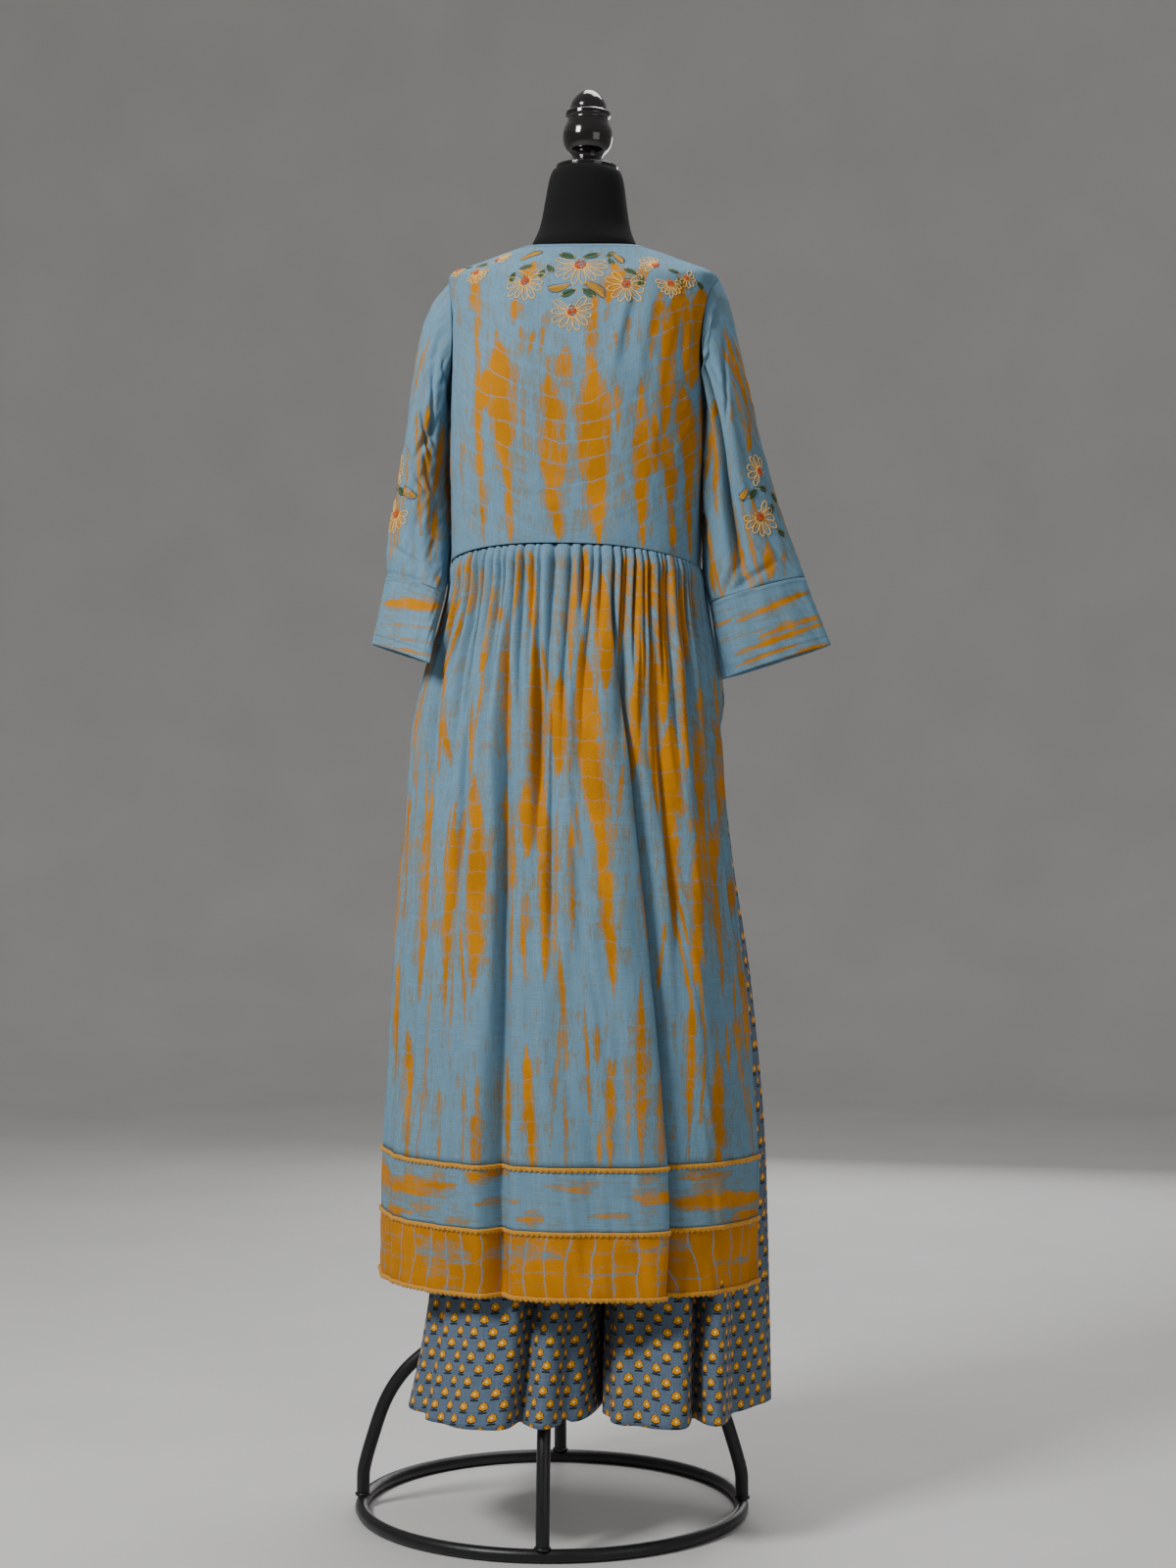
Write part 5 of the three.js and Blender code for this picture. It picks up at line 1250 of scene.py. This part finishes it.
for part in ("back", "front"):
    for name, top in (("top", BAND_TOP + 1), ("middle", BAND_MIDDLE + 1), ("hem", BAND_BOTTOM + 5)):
        section = picot_strip(part, top)
        flat = np.meshgrid(np.linspace(0, 0.006, section.shape[1] + 1), np.linspace(0, 0.8, section.shape[0]))
        piece(f"trim_{name}_{part}_picot", section, crochet, [f"trim_{name}_{part}"], closed=True,
              outward=(32, 0, top), cut=np.stack(flat, -1))


# ---- topstitching ---------------------------------------------------------------------------------------
# Single rows of matching thread: round the neck edge, along each cuff's seam and hem, and down the
# turned-in slits.
thread = Look("seam_thread", roughness=0.6, colour=(0.1, 0.19, 0.27))
thread.bump(thread.noise(thread.place(), 2600, 2), 0.0002)
thread.colour(thread.mix(thread.noise(thread.place(), 90, 2), (0.085, 0.165, 0.24), (0.13, 0.23, 0.32)))


def topstitch(line, normals, closed=False, pitch=3.0, long=2.2):
    """Straight stitches at even steps along a line of cloth points, as rows for sew()."""
    if closed:
        line, normals = np.vstack([line, line[:1]]), np.vstack([normals, normals[:1]])
    run = np.concatenate([[0], np.cumsum(np.linalg.norm(np.diff(line, axis=0), axis=1))])
    at = np.arange(0.5, run[-1] - long, pitch)

    def spot(values, where):
        return np.stack([np.interp(where, run, values[:, k]) for k in range(3)], 1)

    width, high, kind = 0.75 * np.ones(len(at)), 0.7 * np.ones(len(at)), np.zeros(len(at), int)
    return spot(line, at), spot(line, at + long), unit(spot(normals, at)), width, high, kind


laid = []
for grid in (back_points, front_points):
    n = outward_of(grid, BODICE_CORE)
    down = np.linalg.norm(np.diff(grid, axis=0), axis=-1).cumsum(0).mean(1)
    row = int(np.searchsorted(down, 4.0)) + 1
    laid.append(topstitch(grid[row], n[row]))
for side in ("right", "left"):
    grid = sleeve_grids["cuff", side][0]
    n = outward_of(grid, grid.mean(1, keepdims=True), closed=True)
    for row in (-7, 2):
        laid.append(topstitch(grid[row], n[row], closed=True))
for part in ("back", "front"):
    grid, _, _ = skirt_grid(part, 300, np.linspace(SLIT_TOP - 20, BAND_BOTTOM + 4, 120))
    n = outward_of(grid, (32, 0, 700.0))
    for column in (3, -4):
        laid.append(topstitch(grid[:, column], n[:, column]))
sew("topstitch_kurti_thread", laid, [thread])


# ---- trousers --------------------------------------------------------------------------------------
# Wide straight trousers of slate cotton, printed all over with small mustard rosebuds in a half drop.
# A back and a front panel to each leg, on a plain waistband.
LEG_COLUMNS = "z outer inner back front"
LEGS = {
    "right": rows(LEG_COLUMNS, [
        [150, 252, 77, -206, 118], [215, 250, 75, -180, 123], [285, 248, 73, -150, 128], [430, 247, 66, -141, 130],
        [640, 236, 55, -132, 124], [800, 217, 45, -123, 116], [890, 210, 38, -114, 111], [1000, 192, 33, -108, 108],
        [1106, 168, 31, -105, 105]]),
    "left": rows(LEG_COLUMNS, [
        [150, -156, 75, -240, 104], [215, -146, 73, -206, 111], [285, -140, 71, -176, 118],
        [430, -136, 64, -162, 124], [640, -130, 53, -140, 120], [800, -122, 43, -124, 116],
        [890, -117, 36.6, -114, 111], [1000, -113, 31.6, -108, 108], [1106, -106, 29.6, -105, 105]])}
# Folds: angle round the leg, depth and half width in degrees at the hem, and where they start.
LEG_FOLDS = {
    "right": [[-52, 8, 9, 700], [-14, 10, 9, 760], [24, 50, 6, 780], [40, -8, 7, 700], [62, 14, 10, 900],
              [94, -19, 10, 1050], [126, 12, 10, 760], [154, 12, 10, 760], [196, 18, 11, 700], [236, 12, 10, 700]],
    "left": [[-46, 12, 9, 800], [-15, 40, 6, 780], [26, 9, 10, 700], [50, 16, 9, 700], [100, 14, 10, 700],
             [128, 12, 9, 700], [160, 14, 10, 700], [200, 16, 11, 700], [240, 12, 10, 700]]}
LEG_POWER = {"outer": 2.15, "inner": 3.0}
HIP_POWER = 2.3
CROTCH, CROTCH_TOP, HEM, TROUSER_TOP, WAISTBAND_TOP = 800.0, 905.0, 150.0, 1106.0, 1138.0
ARCH_CLEARANCE = 5.0                     # between the hem and a bar below it
NOTCH_FLAT, NOTCH_SPREAD = 9.0, 34.0     # the lifted place, to either side of a bar
ARCH_BY_RADIUS = rows("radius z", sorted([[r, z] for r, z in zip(ARCH["radius"], ARCH["z"])]))


def leg_point(name, side, phi, z):
    """A leg's outside: 0 at its back, 90 at the outseam, 270 at the inseam. A superellipse drawn in by
    folds that deepen to the hem; above the crotch its half turn becomes a quarter of the hips."""
    table = LEGS[name]
    outer, inner, back, front = (along(table, column, z) for column in ("outer", "inner", "back", "front"))
    middle_x, middle_y = (outer + inner) / 2, (back + front) / 2
    half_x, half_y = np.abs(outer - inner) / 2, (front - back) / 2
    angle = np.radians(phi)
    exponent = 2 / np.where(np.sin(angle) < 0, LEG_POWER["inner"], LEG_POWER["outer"])
    inward = np.zeros(np.broadcast(phi, z).shape)
    for spot, deep, half, top in LEG_FOLDS[name]:
        away = np.mod(phi - spot + 540, 360) - 180
        inward = inward + deep * smooth(top, HEM, z) * np.exp(-((away / half) ** 2))
    x = side * half_x * signed_power(np.sin(angle), exponent)
    y = -half_y * signed_power(np.cos(angle), exponent)
    scale = 1 - inward / np.hypot(x, y)
    leg = np.stack([middle_x + x * scale, middle_y + y * scale, z + 0 * x], -1)
    hip_angle = np.radians(np.where(phi <= 90, (phi + 90) / 2, 180 - (270 - phi) / 2))
    hip = np.stack([inner + side * 2 * half_x * signed_power(np.sin(hip_angle), 2 / HIP_POWER),
                    middle_y - half_y * signed_power(np.cos(hip_angle), 2 / HIP_POWER), z + 0 * x], -1)
    return mix(leg, hip, smooth(CROTCH, CROTCH_TOP, z)[..., None])


def hem_over_bars(name, side, phi):
    """Height of the hem at each angle: level, but lifted where it lies over a bar of the stand."""
    hem = np.full_like(phi, HEM)
    for _ in range(3):
        point = leg_point(name, side, phi, hem)
        radius = np.hypot(point[..., 0], point[..., 1])
        azimuth = np.arctan2(point[..., 1], point[..., 0]) - STAND_YAW
        nearest = np.round(azimuth / (np.pi / 2)) * (np.pi / 2)
        aside = np.abs(radius * np.sin(azimuth - nearest))
        top = along(ARCH_BY_RADIUS, "z", np.clip(radius, 21, 231)) + BAR / 2 + ARCH_CLEARANCE
        hem = HEM + np.maximum(0, top - HEM) * (1 - smooth(NOTCH_FLAT, NOTCH_SPREAD, aside))
    return hem


PRINT_PITCH, PRINT_ROW = 0.024, 0.0145   # metres from rosebud to rosebud and from row to row
PRINT_WIDE, PRINT_HIGH = 21.2, 12.8      # the same cell in the rosebud's own units


def printed_cotton():
    """Slate cotton with a rosebud in every cell, rows in half drop: a round mustard head with a dark
    outline and a pale light, a short stem and two leaves, all as distances within one cell."""
    look = Look("buti_cotton", roughness=0.9, Sheen_Weight=0.03, Sheen_Roughness=0.5, Specular_IOR_Level=0.2)
    flat = look.flat()
    weave = look.node("ShaderNodeGroup", {"Vector": flat, "Threads": 480.0}, node_tree=PLAIN_WEAVE)
    parted = look.node("ShaderNodeSeparateXYZ", {0: flat}).outputs
    row = look.math("DIVIDE", parted[1], PRINT_ROW)
    shift = look.math("MULTIPLY", look.math("PINGPONG", look.math("FLOOR", row), 1.0), 0.5)
    column = look.math("ADD", look.math("DIVIDE", parted[0], PRINT_PITCH), shift)
    x = look.about(look.math("FRACT", column), 0.5, PRINT_WIDE)
    y = look.about(look.math("FRACT", row), 0.5, PRINT_HIGH)

    def ovals(*table):
        """Distance to the nearest of some ovals, 1 on its edge: middles and half sizes."""
        nearest = None
        for cx, cy, rx, ry in table:
            dx = look.math("DIVIDE", look.math("SUBTRACT", x, cx), rx)
            dy = look.math("DIVIDE", look.math("SUBTRACT", y, cy), ry)
            away = look.math("SQRT", look.math("ADD", look.math("MULTIPLY", dx, dx), look.math("MULTIPLY", dy, dy)))
            nearest = look.math("MINIMUM", nearest, away) if nearest else away
        return nearest

    head = ovals((0, 1.6, 3.9, 3.7), (0, 4.4, 1.9, 2.2), (-3.0, 0.9, 1.9, 1.8), (3.0, 0.9, 1.9, 1.8),
                 (-2.1, 3.4, 1.9, 1.8), (2.1, 3.4, 1.9, 1.8))
    leaves = ovals((-2.3, -4.6, 2.3, 0.9), (2.3, -4.6, 2.3, 0.9), (0, -4.0, 0.5, 1.9), (0, -2.0, 3.1, 1.1))
    ground = look.mix(look.noise(flat, 9, 3), (0.066, 0.108, 0.172), (0.09, 0.142, 0.215))
    # Painted light and shade on single threads of the ground, from the weave's slub tone: pale where it is high, dark
    # where it is low.
    ground = look.mix(look.step(weave.outputs["Tone"], 0.3, 0.7), look.mix(0.2, ground, (0.02, 0.03, 0.05)),
                      look.mix(0.1, ground, (0.5, 0.6, 0.7)))
    petal = look.mix(look.noise(flat, 300, 2), (0.52, 0.2, 0.0), (0.74, 0.32, 0.002))
    colour = look.mix(look.step(leaves, 1.25, 0.95), ground, (0.012, 0.014, 0.012))
    colour = look.mix(look.step(head, 1.36, 1.16), colour, (0.02, 0.015, 0.008))
    colour = look.mix(look.step(head, 1.0, 0.88), colour, petal)
    colour = look.mix(look.step(ovals((0.4, 2.1, 1.35, 1.25)), 1.2, 0.5), colour, (0.9, 0.78, 0.4))
    look.colour(colour)
    look.bump(weave.outputs["Height"], 0.00022, 0.6)
    return look


buti_cotton = printed_cotton()
for name, side in (("right", 1), ("left", -1)):
    for part, start in (("back", -90.0), ("front", 90.0)):
        s, t = np.meshgrid(np.linspace(start + 0.15, start + 179.85, 170), np.linspace(0, 1, 140))
        hem = hem_over_bars(name, side, s[0])[None, :]
        points = leg_point(name, side, s, mix(TROUSER_TOP - SEAM_GAP, hem, t))
        centre = ((LEGS[name]["outer"][0] + LEGS[name]["inner"][0]) / 2, 0, 500)
        leg = piece(f"trouser_{part}_{name}_cloth", points, buti_cotton, [f"trouser_{part}_{name}"],
                    wall=CLOTH, outward=centre, cut=laid_flat(points))

theta = np.linspace(-180, 180, 160, endpoint=False)
angle, z = np.meshgrid(np.radians(theta), np.linspace(WAISTBAND_TOP, TROUSER_TOP, 6))
middle_x = (along(LEGS["right"], "inner", z) + along(LEGS["left"], "inner", z)) / 2
half_width = (along(LEGS["right"], "outer", z) - along(LEGS["left"], "outer", z)) / 2
points = np.stack([middle_x + half_width * signed_power(np.sin(angle), 2 / HIP_POWER),
                   -along(LEGS["right"], "front", z) * signed_power(np.cos(angle), 2 / HIP_POWER), z], -1)
waistband = piece("trouser_waistband_cloth", points, buti_cotton, ["trouser_waistband"],
                  closed=True, wall=CLOTH, cut=laid_flat(points, closed=True))
